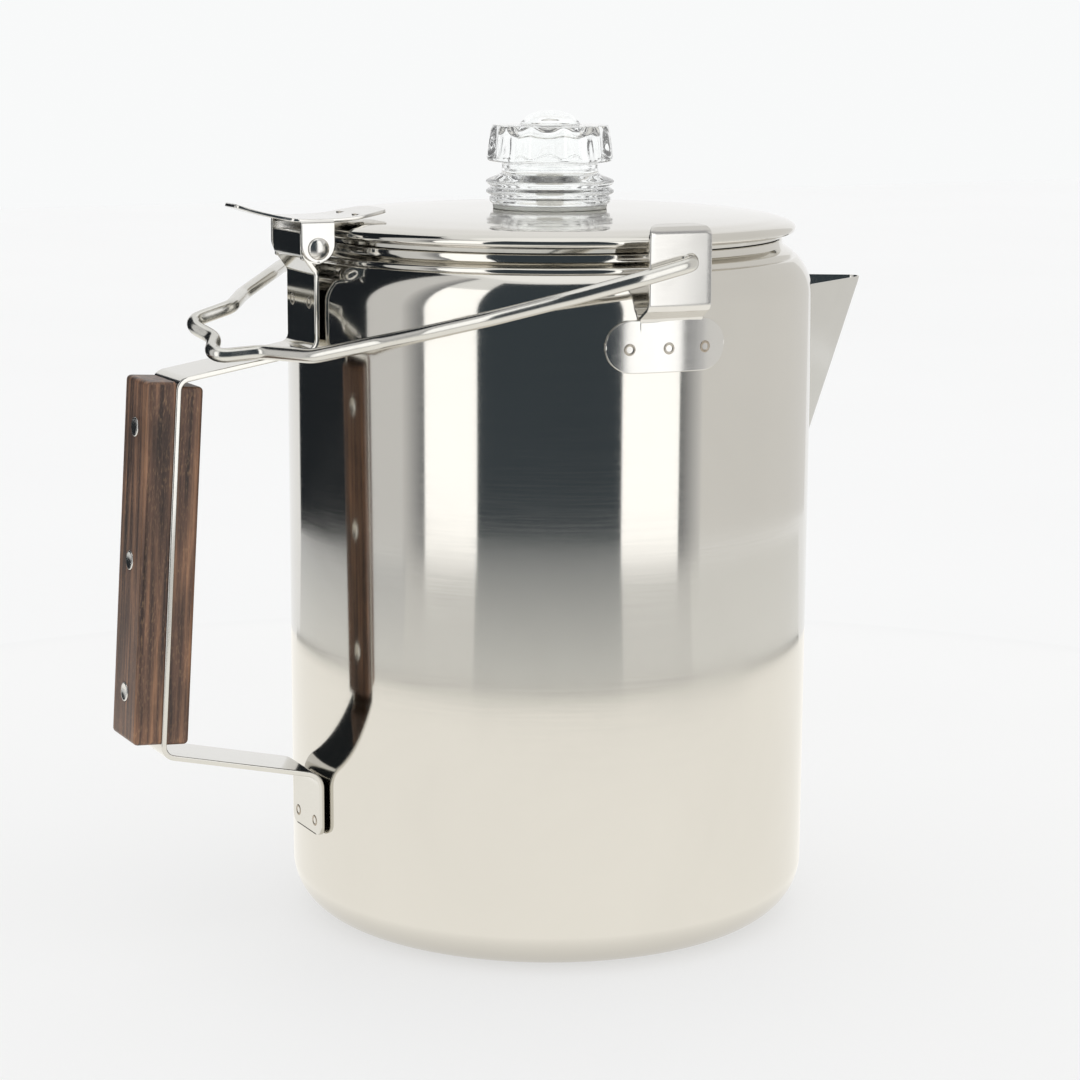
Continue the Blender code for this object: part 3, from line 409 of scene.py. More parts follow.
# drawn and spun, then polished as it turned: real scratches every 0.1 mm, drawn at 0.5 mm
polishedRound = {
    "colour": "#DDDAD3", "dull": "#D6D3CC", "rough": 0.085, "roughVary": 0.02, "stretch": 0.55,
    "lay": "round",
    "scratchLong": 30.0, "scratchGap": 0.5, "scratchDeep": 0.0004, "waveSize": 60.0, "waveDeep": 0.03,
    "smearSize": 45.0, "smear": 0.03}
polishedStrip = {  # rolled strip, polished along its length before it was bent
    "colour": "#DAD8D2", "dull": "#D2D0CA", "rough": 0.10, "roughVary": 0.02, "stretch": 0.0, "lay": "Z",
    "scratchLong": 14.0, "scratchGap": 0.4, "scratchDeep": 0.0003, "waveSize": 14.0, "waveDeep": 0.02,
    "smearSize": 12.0, "smear": 0.04}
# stamped and tumbled, softer shine
stampedSheet = dict(polishedStrip, lay="X", rough=0.14, colour="#E0DEDA", dull="#D9D7D2")
drawnWire = dict(polishedStrip, lay="X", rough=0.19, waveSize=6.0, waveDeep=0.01)  # pulled through a die
# left as spun
satinInside = dict(polishedRound, rough=0.24, roughVary=0.05, stretch=0.4, scratchDeep=0.001)

potSteel = stainless("mirror polished stainless steel, spun", polishedRound)
lidSteel = stainless("mirror polished stainless steel, lid", dict(polishedRound, rough=0.075))
spoutSteel = stainless("polished stainless sheet, folded", dict(polishedStrip, rough=0.12))
strapSteel = stainless("polished stainless strip", polishedStrip)
sheetSteel = stainless("tumbled stainless stamping", stampedSheet)
wireSteel = stainless("drawn stainless wire", drawnWire)
rivetSteel = stainless("headed stainless rivet", dict(stampedSheet, rough=0.2, waveSize=2.0, waveDeep=0.02))
innerSteel = stainless("spun stainless steel, satin", satinInside)
print("steel finishes made")


def woodMaterial(look):
    # rosewood-coloured laminate: brown layers along the grip with darker seams between, short
    # fibres and pores, worn smooth so it has a low sheen
    made, tree, shader = newMaterial("laminated rosewood", Coat_Weight=look["coat"], Coat_Roughness=0.35)
    spot = addNode(tree, "TexCoord").outputs["Object"]
    lean = addNode(tree, "Mapping", {"Rotation": (0, math.radians(look["lean"]), 0)}, {"Vector": spot})
    stretched = addNode(tree, "Mapping", {"Scale": (1, 1, 0.03)}, {"Vector": lean.outputs[0]})
    grain = addNode(tree, "TexNoise",
                    {"Scale": 1 / (look["bandSize"] * mm), "Detail": 4.0, "Distortion": 0.15},
                    {"Vector": stretched.outputs[0]})
    fibre = addNode(tree, "TexNoise",
                    {"Scale": 1 / (look["fibreSize"] * mm), "Detail": 5.0, "Roughness": 0.7},
                    {"Vector": stretched.outputs[0]})
    pores = addNode(tree, "TexVoronoi", {"Scale": 1 / (look["poreSize"] * mm), "Randomness": 1.0},
                    {"Vector": stretched.outputs[0]})
    pore = addNode(tree, "MapRange", {"From Min": 0.05, "From Max": 0.22, "To Min": 1.0, "To Max": 0.0},
                   {0: pores.outputs["Distance"]})
    ramp = addNode(tree, "ValToRGB", links={0: grain.outputs[0]})
    stops = ramp.color_ramp.elements
    stops[0].position, stops[0].color = 0.34, linear(look["dark"])
    stops[1].position, stops[1].color = 0.68, linear(look["light"])
    stops.new(0.52).color = linear(look["middle"])
    fine = addNode(tree, "MixRGB", {0: look["fibreShow"]}, {1: ramp.outputs[0], 2: fibre.outputs[0]},
                   blend_type="OVERLAY")
    worn = addNode(tree, "MixRGB", {2: linear(look["pore"])}, {0: pore.outputs[0], 1: fine.outputs[0]})
    soft = addNode(tree, "MixRGB", {0: 0.7}, {1: fine.outputs[0], 2: worn.outputs[0]})
    # light flecks where fibres catch the light, gathered in patches
    short = addNode(tree, "Mapping", {"Scale": (1, 1, 0.25)}, {"Vector": lean.outputs[0]})
    flecks = addNode(tree, "TexNoise", {"Scale": 1 / (0.4 * mm), "Detail": 2.0},
                     {"Vector": short.outputs[0]})
    patches = addNode(tree, "TexNoise", {"Scale": 1 / (look["patchSize"] * mm), "Detail": 2.0},
                      {"Vector": spot})
    fleck = addNode(tree, "MapRange", {"From Min": 0.52, "From Max": 0.8, "To Max": 0.8},
                    {0: flecks.outputs[0]})
    gathered = addNode(tree, "Math", links={0: fleck.outputs[0], 1: patches.outputs[0]},
                       operation="MULTIPLY")
    flecked = addNode(tree, "MixRGB", {2: linear(look["fleck"])},
                      {0: gathered.outputs[0], 1: soft.outputs[0]})
    shaded = addNode(tree, "MapRange",
                     {"From Min": 0.35, "From Max": 0.65, "To Min": 1 - look["patch"], "To Max": 1.1},
                     {0: patches.outputs[0]})
    toned = addNode(tree, "VectorMath", links={0: flecked.outputs[0], 1: shaded.outputs[0]},
                    operation="MULTIPLY")
    tree.links.new(toned.outputs[0], shader.inputs["Base Color"])
    rough = addNode(tree, "MapRange", {"From Min": 0.3, "From Max": 0.7, "To Min": look["rough"] - 0.06,
                                       "To Max": look["rough"] + 0.08}, {0: fibre.outputs[0]})
    tree.links.new(rough.outputs[0], shader.inputs["Roughness"])
    deep = addNode(tree, "Math", {1: -0.6}, {0: pore.outputs[0]}, operation="MULTIPLY")
    height = addNode(tree, "Math", links={0: fibre.outputs[0], 1: deep.outputs[0]}, operation="ADD")
    bump = addNode(tree, "Bump", {"Strength": 1.0, "Distance": 0.03 * mm}, {"Height": height.outputs[0]})
    tree.links.new(bump.outputs[0], shader.inputs["Normal"])
    return made


laminate = {"dark": "#33211A", "middle": "#674938", "light": "#976D4F", "pore": "#24150F", "fleck": "#B08A62",
            "coat": 0.1, "rough": 0.45, "lean": -3.7, "bandSize": 1.5, "fibreSize": 0.35, "poreSize": 0.7,
            "fibreShow": 0.6, "patchSize": 14.0, "patch": 0.25}
wood = woodMaterial(laminate)


def glassMaterial():
    # pressed soda-lime glass: clear, with the slow waviness a mould leaves in the surface
    made, tree, shader = newMaterial("pressed clear glass", Roughness=0.01, IOR=1.5,
                                     Transmission_Weight=1.0)
    spot = addNode(tree, "TexCoord").outputs["Object"]
    waves = addNode(tree, "TexNoise", {"Scale": 1 / (7 * mm), "Detail": 1.5}, {"Vector": spot})
    bump = addNode(tree, "Bump", {"Strength": 1.0, "Distance": 0.12 * mm}, {"Height": waves.outputs[0]})
    tree.links.new(bump.outputs[0], shader.inputs["Normal"])
    tint = addNode(tree, "MixRGB", {1: linear("#FAFCFB"), 2: linear("#FFFFFF")}, {0: waves.outputs[0]})
    tree.links.new(tint.outputs[0], shader.inputs["Base Color"])
    # painted glow: the glass gives off a faint white light of its own
    shader.inputs["Emission Color"].default_value = (1, 1, 1, 1)
    shader.inputs["Emission Strength"].default_value = 0.025  # painted glow, standing in for light carried round inside the thick glass
    return made


def siliconeMaterial():
    # milky food-grade silicone: soft, slightly see-through and matt
    made, tree, shader = newMaterial("translucent silicone", Roughness=0.5, Transmission_Weight=0.5,
                                     IOR=1.41)
    spot = addNode(tree, "TexCoord").outputs["Object"]
    cloud = addNode(tree, "TexNoise", {"Scale": 1 / (3 * mm), "Detail": 3.0}, {"Vector": spot})
    tint = addNode(tree, "MixRGB", {1: linear("#E4E4DE"), 2: linear("#F4F4F0")}, {0: cloud.outputs[0]})
    tree.links.new(tint.outputs[0], shader.inputs["Base Color"])
    rough = addNode(tree, "MapRange", {"To Min": 0.4, "To Max": 0.6}, {0: cloud.outputs[0]})
    tree.links.new(rough.outputs[0], shader.inputs["Roughness"])
    return made


def weldMaterial(name, heat):
    # spot weld: steel that ran and set again, brown to straw where the heat left an oxide film
    made, tree, shader = newMaterial(name, Metallic=1.0)
    spot = addNode(tree, "TexCoord").outputs["Object"]
    burn = addNode(tree, "TexNoise", {"Scale": 1 / (1.6 * mm), "Detail": 3.0}, {"Vector": spot})
    grit = addNode(tree, "TexNoise", {"Scale": 1 / (0.35 * mm), "Detail": 3.0}, {"Vector": spot})
    tint = addNode(tree, "MixRGB", {1: linear("#C9C4BA"), 2: linear(heat)}, {0: burn.outputs[0]})
    tree.links.new(tint.outputs[0], shader.inputs["Base Color"])
    rough = addNode(tree, "MapRange", {"To Min": 0.2, "To Max": 0.42}, {0: grit.outputs[0]})
    tree.links.new(rough.outputs[0], shader.inputs["Roughness"])
    bump = addNode(tree, "Bump", {"Strength": 1.0, "Distance": 0.02 * mm}, {"Height": grit.outputs[0]})
    tree.links.new(bump.outputs[0], shader.inputs["Normal"])
    return made


glass = glassMaterial()
silicone = siliconeMaterial()
paleWeld = weldMaterial("spot weld, bright", "#A39A8C")
brownWeld = weldMaterial("spot weld, straw tint", "#8A7458")
print("wood, glass, silicone and weld finishes made")

# pot: drawn body with a rolled-in shoulder, pressed line and neck
pot = {"wall": 1.0, "base": 1.2, "baseCorner": 15.0, "shoulder": 15.0, "creaseIn": 5.0, "creaseDeep": 0.55,
       "neckIn": 8.7, "neckUp": 1.9, "footRing": 52.0, "footDish": 0.7}
neckRadius = potRadius - pot["neckIn"]
shoulderAt = potRadius - pot["shoulder"]
potWallTop = rimTop - pot["neckUp"] - math.sqrt(pot["shoulder"] ** 2 - (neckRadius - shoulderAt) ** 2)
creaseTurn = math.degrees(math.acos((potRadius - pot["creaseIn"] - shoulderAt) / pot["shoulder"]))
neckTurn = math.degrees(math.acos((neckRadius - shoulderAt) / pot["shoulder"]))
outside = [(0.0, pot["footDish"]), (pot["footRing"] - 6, pot["footDish"]), (pot["footRing"] - 2, 0.35),
           (pot["footRing"], 0.05), (pot["footRing"] + 2, 0.0)]
outside += arc(potRadius - pot["baseCorner"], pot["baseCorner"], pot["baseCorner"], -90, 0, 22)
outside += [(potRadius, pot["baseCorner"] + (potWallTop - pot["baseCorner"]) * k / 10)
            for k in range(1, 10)]
outside += arc(shoulderAt, potWallTop, pot["shoulder"], 0, creaseTurn - 3.4, 14)
for lean, share in ((-2.2, 0.3), (-1.2, 0.8), (0, 1.0), (1.2, 0.8), (2.2, 0.3)):
    deep = pot["creaseDeep"] * share
    turn = math.radians(creaseTurn + lean)
    outside.append((shoulderAt + (pot["shoulder"] - deep) * math.cos(turn),
                    potWallTop + (pot["shoulder"] - deep) * math.sin(turn)))
outside += arc(shoulderAt, potWallTop, pot["shoulder"], creaseTurn + 3.4, neckTurn - 1.5, 4)
outside += [(neckRadius + 0.1, rimTop - pot["neckUp"] + 0.35), (neckRadius, rimTop - pot["neckUp"] + 0.8),
            (neckRadius, rimTop - 0.45)]
outside += arc(neckRadius - 0.45, rimTop - 0.45, 0.45, 10, 90, 4)
neckInner = neckRadius - pot["wall"]
inside = arc(neckInner + 0.45, rimTop - 0.45, 0.45, 90, 170, 4) + [(neckInner, rimTop - 0.6)]
innerArc = pot["shoulder"] - pot["wall"]
innerTurn = math.degrees(math.acos(min(1, (neckInner - shoulderAt) / innerArc)))
inside += arc(shoulderAt, potWallTop, innerArc, innerTurn, 0, 12)
inside += arc(potRadius - pot["baseCorner"], pot["baseCorner"], pot["baseCorner"] - pot["wall"], 0, -82, 12)
inside += [(potRadius - pot["baseCorner"] - 4, pot["base"]), (0.0, pot["base"])]

spout = {"sheet": 1.0, "half": 21.3, "height": 84.6, "reach": 32.8, "nose": 1.35, "noseGrow": 1.6,
         "bead": 0.55}
spoutTop = boxOf("spout")[1].z
spoutBottom = spoutTop - spout["height"]
strainer = {"radius": 2.1, "pitch": 6.6, "row": 8.5, "edge": 5.5, "first": 8.6, "rows": 6}
strainerHoles = []
for row in range(strainer["rows"]):
    z = spoutTop - strainer["first"] - strainer["row"] * row
    room = spout["half"] * (z - spoutBottom) / spout["height"] - strainer["edge"]
    count = 1 + max(0, int(2 * room / strainer["pitch"]))
    for k in range(count):
        y = (k - (count - 1) / 2) * strainer["pitch"]
        strainerHoles.append(pin((potRadius - 0.5, y, z), (1, 0, 0), strainer["radius"], 12))
makePiece("PotBody", [lathe(outside + inside, 256)], potSteel, "pot", ["pot_body"], holes=strainerHoles)
print("pot body made with", len(strainerHoles), "strainer holes")

# spout: one sheet folded to a V, its edges welded to the wall


def spoutLine(f, offset, tail=0.0, steps=8):
    # outline of the V at share f of its height, moved out by offset; runs from +Y to -Y
    tip = potRadius + spout["reach"] * f + offset * 1.15
    half = spout["half"] * f + offset * 0.9
    wallX = math.sqrt(potRadius ** 2 - min(half, potRadius) ** 2)
    way = Vector((wallX - tip, half)).normalized()
    nose = spout["nose"] + spout["noseGrow"] * f + offset
    ends = [Vector((wallX, half)) + way * tail, Vector((wallX, -half)) + Vector((way.x, -way.y)) * tail]
    return roundCorners([((ends[0].x, ends[0].y, 0), 0), ((tip, 0, 0), nose),
                         ((ends[1].x, ends[1].y, 0), 0)], steps)


rings = []
shares = [0.03 + 0.955 * k / 16 for k in range(17)] + [0.992, 0.997, 1.0]
for f in shares:
    lipIn = 0.35 * max(0.0, (f - 0.985) / 0.015) ** 2  # the lip's edge is rounded over
    z = spoutBottom + spout["height"] * f
    outer = [Vector((p.x, p.y, z)) for p in spoutLine(f, spout["sheet"] - lipIn)]
    inner = [Vector((p.x, p.y, z)) for p in spoutLine(f, lipIn)]
    rings.append(outer + inner[::-1])
verts, faces = skin(rings)
wallTool = lathe([(0, spoutTop + 40), (potRadius - 0.02, spoutTop + 40),
                  (potRadius - 0.02, spoutBottom - 30),
                  (0, spoutBottom - 30)], 256)
beads = []
for side in (-1, 1):
    line = []
    for k in range(25):
        f = 0.05 + 0.94 * k / 24
        half = spout["half"] * f + 0.95
        turn = math.asin(half / potRadius)
        line.append((potRadius * math.cos(turn) + 0.15, side * half, spoutBottom + spout["height"] * f))
    beads.append(tube(line, spout["bead"], 10))
makePiece("Spout", [(verts, faces)], spoutSteel, "pot", ["spout"], holes=[wallTool], sharp=28)
makePiece("SpoutWeldBead", beads, paleWeld, "pot")
print("spout made")

# lid: domed sheet with a rolled edge and a skirt that plugs into the neck
lid = {"sheet": 0.9, "edgeUp": 4.0, "rise": 2.2, "skirt": 9.0, "plugClear": 1.1, "knobHole": 13.8}
lidLine = rimTop + 0.3  # face the lid rests on
edgeLow = lidTop - lid["rise"] - lid["edgeUp"]
edgeTop = lidTop - lid["rise"]
plug = neckRadius - pot["wall"] - lid["plugClear"]
lidOuter = smoothRun([
    (lid["knobHole"], lidTop), (lidRadius - 44, lidTop), (lidRadius - 30, lidTop - 0.25),
    (lidRadius - 18, lidTop - 0.7), (lidRadius - 10, lidTop - 1.3), (lidRadius - 6, edgeTop + 0.45),
    (lidRadius - 3.4, edgeTop - 0.2), (lidRadius - 1.7, edgeTop - 0.75), (lidRadius - 0.55, edgeTop - 1.5),
    (lidRadius - 0.05, edgeTop - 2.25), (lidRadius - 0.15, edgeLow + 0.9),
    (lidRadius - 0.65, edgeLow + 0.3),
    (lidRadius - 1.4, edgeLow)], 5)
lidOuter += [Vector((neckRadius - 0.2, edgeLow - 0.05))]
lidOuter += [Vector(p) for p in ((neckRadius - 0.45, lidLine), (plug + 0.3, lidLine),
                                 (plug + 0.05, lidLine - 0.15),
                                 (plug, lidLine - 0.5), (plug, lidLine - lid["skirt"] + 0.2),
                                 (plug - 0.2, lidLine - lid["skirt"]))]
lidInner = [Vector(p) for p in (
    (plug - lid["sheet"] + 0.2, lidLine - lid["skirt"]),
    (plug - lid["sheet"], lidLine - lid["skirt"] + 0.2),
    (plug - lid["sheet"], lidLine + 0.2), (plug, lidLine + 0.95), (lidRadius - 1.9, edgeLow + 0.95),
    (lidRadius - 1.1, edgeLow + 1.5), (lidRadius - 1.6, edgeTop - 2.1), (lidRadius - 4.2, edgeTop - 1.05),
    (lidRadius - 10, lidTop - 1.3 - lid["sheet"]), (lidRadius - 30, lidTop - 0.25 - lid["sheet"]),
    (lidRadius - 44, lidTop - lid["sheet"]), (lid["knobHole"], lidTop - lid["sheet"]))]
makePiece("LidSheet", [lathe(lidOuter + lidInner, 256, closed=True)], lidSteel, "lid", ["lid"])
print("lid made")

# handle strap: hinge lugs, weld tab, two arms, tang and foot bent from one strip
strap = {"width": 20.0, "thick": 1.5, "lugUp": 4.4, "armReach": 40.8, "armBelow": 26.6, "armDrop": 6.6,
         "footReach": 47.4, "footArm": 58.8, "footDrop": 11.0, "footLong": 17.8, "corner": 3.0}
strapAt = -(potRadius + 0.3 + strap["thick"] / 2)
armSpot = (-(potRadius + strap["armReach"]), bailSpot.z - strap["armBelow"])
footSpot = (-(potRadius + strap["footReach"]), strap["footArm"])
footTop = strap["footArm"] - strap["footDrop"]
strapLine = roundCorners([
    ((hingeSpot.x - 4.0, 0, hingeSpot.z + strap["lugUp"]), 0),
    ((hingeSpot.x - 4.0, 0, hingeSpot.z - 1.4), 2.6),
    ((strapAt, 0, hingeSpot.z - 6.6), 2.6), ((strapAt, 0, armSpot[1]), 3.2),
    ((armSpot[0], 0, armSpot[1] - strap["armDrop"]), 3.2), ((footSpot[0], 0, footSpot[1]), 3.6),
    ((strapAt, 0, footTop), 4.6), ((strapAt, 0, footTop - strap["footLong"]), 0)], 8)
strapRows = sampleSheet([(p, strap["width"] / 2) for p in strapLine], 0.0, strap["corner"])
strapShape = sheet(strapRows, (0, 1, 0), strap["thick"], 0.35, 3, 2)
lugs = []
for side in (-1, 1):
    y = side * (strap["width"] / 2 - strap["thick"] / 2 - 0.02)
    rows = [(Vector((hingeSpot.x - 4.4, y, hingeSpot.z + 0.6)), 3.6),
            (Vector((hingeSpot.x - 1.5, y, hingeSpot.z + 0.1)), 4.2)]
    for k in range(9):
        turn = math.pi / 2 * k / 8
        rows.append((Vector((hingeSpot.x + 4.4 * math.sin(turn) * 0.97, y, hingeSpot.z)),
                     max(4.4 * math.cos(turn), 0.6)))
    lugs.append(sheet(rows, (0, 0, 1), strap["thick"], 0.3, 3, 1, [Vector((0, 1, 0))] * len(rows)))
gripTop = Vector((armSpot[0], 0, armSpot[1] - strap["armDrop"]))
gripLow = Vector((footSpot[0], 0, footSpot[1]))
along = (gripTop - gripLow).normalized()
away = Vector((-along.z, 0, along.x))
grip = {"over": -0.3, "short": 3.2, "innerTop": 1.5, "innerLow": 3.0, "rivetEnd": 13.2, "width": 19.0,
        "outer": 7.4, "inner": 6.2, "edge": 1.3, "rivet": 2.65, "shank": 1.8}
gripLong = (gripTop - gripLow).length + grip["over"] - grip["short"]
gripMiddle = gripLow + along * (grip["short"] + gripLong / 2)
gripFrame = Matrix(((away.x, 0, along.x, gripMiddle.x), (away.y, 1, along.y, gripMiddle.y),
                    (away.z, 0, along.z, gripMiddle.z), (0, 0, 0, 1)))
rivetHeights = [gripLong / 2 - grip["rivetEnd"], 0.0, grip["rivetEnd"] - gripLong / 2]
tangHoles = [pin(gripFrame @ Vector((0, 0, z)), away, grip["shank"] + 0.2, 8) for z in rivetHeights]
tangHoles.append(pin(hingeSpot, (0, 1, 0), 1.75, 30))
makePiece("HandleStrap", [strapShape], strapSteel, "pot", ["handle_strap"], joins=lugs, holes=tangHoles,
          even=True)
print("handle strap made")

# wooden scales, each a block with rounded edges, and the three rivets through them
for name, node, thick, way, low, high in (
        ("OuterScale", "outer_grip_scale", grip["outer"], 1, -gripLong / 2, gripLong / 2),
        ("InnerScale", "inner_grip_scale", grip["inner"], -1,
         grip["innerLow"] - grip["short"] - gripLong / 2,
         gripLong / 2 - grip["over"] - grip["innerTop"])):
    near = way * (strap["thick"] / 2 + 0.05)
    far = way * (strap["thick"] / 2 + 0.3 + thick)
    build = bmesh.new()
    bmesh.ops.create_cube(build, size=1.0,
                          matrix=Matrix.Translation(((near + far) / 2, 0, (low + high) / 2))
                          @ Matrix.Diagonal((abs(far - near), grip["width"], high - low, 1)))
    bmesh.ops.subdivide_edges(build,
                              edges=[e for e in build.edges if abs((e.verts[0].co - e.verts[1].co).z) > 5],
                              cuts=7)
    rim = [e for e in build.edges if e.calc_face_angle(0) > 0.5
           and not all(abs(v.co.x - near) < 0.01 for v in e.verts)]
    bmesh.ops.bevel(build, geom=rim, offset=grip["edge"], segments=5, profile=0.5, affect="EDGES")
    build.verts.index_update()
    shape = ([gripFrame @ v.co.copy() for v in build.verts],
             [[v.index for v in f.verts] for f in build.faces])
    build.free()
    holes = []
    for z in rivetHeights:
        holes.append(pin(gripFrame @ Vector(((near + far) / 2, 0, z)), away, grip["rivet"] + 0.12,
                         thick + 4, 40))
    makePiece(name, [shape], wood, "pot", [node], holes=holes, sharp=24, even=True)
print("wooden scales made")


def dome(radius, tall, rim, dish=0.0, low=0.0, steps=8):
    # profile of a low round head from its foot out, over the rim and in to the middle
    side = [(radius, low), (radius, tall - rim)]
    side += [(radius - rim * (1 - math.cos(t)), tall - rim + rim * math.sin(t))
             for t in (0.4, 0.8, 1.2, math.pi / 2)]
    top = radius - rim
    for k in range(1, steps + 1):
        r = top * (1 - k / steps)
        side.append((r, tall - dish * (1 - (r / top) ** 2)))
    return side


outerFace, innerFace = (strap["thick"] / 2 + 0.3 + grip[part] for part in ("outer", "inner"))
headLine = dome(grip["rivet"], 0.3, 0.3, 0.3, -2.0)
rivetLine = [(r, -h - innerFace) for r, h in reversed(headLine)]
rivetLine += [(grip["shank"], 2.0 - innerFace), (grip["shank"], outerFace - 2.0)]
rivetLine += [(r, h + outerFace) for r, h in headLine]
turn = Vector((0, 0, 1)).rotation_difference(away).to_matrix().to_4x4()
for k, z in enumerate(rivetHeights):
    spot = Matrix.Translation(gripFrame @ Vector((0, 0, z))) @ turn
    makePiece("GripRivet%d" % (k + 1), [placed(lathe(rivetLine, 40), spot)], rivetSteel, "pot",
              ["grip_rivet_%d" % (k + 1)])
print("grip rivets made")

# hinge plate: sheet stamping spot-welded to the lid, its two ears folded down
hinge = {"sheet": 1.0, "lift": -0.8, "earIn": 10.3, "earHalf": 4.9, "earDown": 4.9, "bend": 1.4}
plateZ = lidTop + hinge["lift"]
earOut = hinge["earIn"] + 1.0
plateRows = smoothRun([
    (-21.0, 4.2, 3.6), (-19.8, 3.8, 4.9), (-16.0, 2.6, 5.6), (-11.0, 1.3, 6.9), (-7.2, 0.5, earOut - 1.9),
    (-5.4, 0.25, earOut - 0.9), (0.0, 0.0, earOut - 0.9), (5.4, 0.05, earOut - 0.9),
    (8.0, 0.15, earOut - 0.9),
    (12.0, 0.45, earOut - 1.0), (16.0, 1.1, earOut - 1.4), (20.0, 1.75, 9.0), (21.6, 1.95, 7.4),
    (22.2, 2.0, 5.4)], 4)
plateRows = [(Vector((hingeSpot.x + x, 0, plateZ + dz)), half) for x, dz, half in plateRows]
plateShape = sheet(plateRows, (0, 1, 0), hinge["sheet"], 0.28, 3, 4)
ears = []
for side in (-1, 1):
    face = side * (hinge["earIn"] + hinge["sheet"] / 2)
    bend = hinge["bend"]
    line = [Vector((hingeSpot.x, side * (earOut - 3.2), plateZ))]
    for k in range(9):
        turn = math.pi / 2 * k / 8
        line.append(Vector((hingeSpot.x, face - side * (bend - bend * math.sin(turn)),
                            plateZ - bend + bend * math.cos(turn))))
    low = hingeSpot.z + 1.2
    rows = [(p, hinge["earHalf"]) for p in line]
    rows.append((Vector((hingeSpot.x, face, low + 1.0)), hinge["earHalf"]))
    for k in range(11):
        turn = math.pi / 2 * k / 10
        rows.append((Vector((hingeSpot.x, face, low - hinge["earDown"] * math.sin(turn))),
                     max(hinge["earHalf"] * math.cos(turn), 0.6)))
    ears.append(sheet(rows, (1, 0, 0), hinge["sheet"], 0.28, 3, 1))
makePiece("HingePlate", [plateShape], sheetSteel, "lid", ["hinge_plate"], joins=ears,
          holes=[pin(hingeSpot, (0, 1, 0), 1.75, 40)], even=True)
for name, side in (("near", -1), ("far", 1)):
    spot = Matrix.Translation(hingeSpot) @ Matrix.Rotation(-side * math.pi / 2, 4, "X")
    out, inner = earOut + 0.02, strap["width"] / 2 - strap["thick"] - 0.02
    head = [(0, inner - 0.7), (2.0, inner - 0.7), (2.3, inner - 0.45), (2.3, inner), (1.6, inner)]
    head += [(1.6, out), (2.9, out), (3.0, out + 0.15)]
    head += [(3.0 * math.cos(t), out + 0.2 + 1.1 * math.sin(t))
             for t in (0.12, 0.3, 0.5, 0.75, 1.0, 1.25, 1.42)]
    head.append((0, out + 1.3))
    makePiece("HingeRivet" + name.title(), [placed(lathe(head, 40), spot)], rivetSteel, "pot",
              ["hinge_rivet_" + name])
print("hinge made")

# spot welds: shallow dimples with a low rim, where the tabs are held to the sheet under them
weld = {"radius": 1.6, "rim": 0.14, "dish": 0.3}


def weldMark(node, rimAt, way, material, body, deep=1.0):
    # a low ring with a dip in it, standing on the face at rimAt
    low, high = boxOf(node)
    base = (low + high) / 2
    way = Vector(way).normalized()
    top = rimAt - base.dot(way)
    r, rim, dish = weld["radius"], weld["rim"] * deep, weld["dish"] * deep
    ring = [(0, top - 1.2), (r, top - 1.2), (r, top), (r * 0.93, top + rim * 0.8), (r * 0.8, top + rim),
            (r * 0.62, top + rim * 0.5), (r * 0.42, top - dish * 0.5), (r * 0.2, top - dish * 0.9),
            (0, top - dish)]
    turn = Vector((0, 0, 1)).rotation_difference(way).to_matrix().to_4x4()
    name = "".join(part.title() for part in node.split("_"))
    makePiece(name, [placed(lathe(ring, 32), Matrix.Translation(base) @ turn)], material, body, [node],
              sharp=50)


for k in range(1, 5):
    weldMark("strap_weld_%d" % k, -(strapAt - strap["thick"] / 2), (-1, 0, 0),
             brownWeld if k > 2 else paleWeld, "pot")
for k in (1, 2):
    weldMark("plate_weld_%d" % k, plateZ + 0.5 + 0.75, (0, 0, 1), paleWeld, "lid", 0.3)

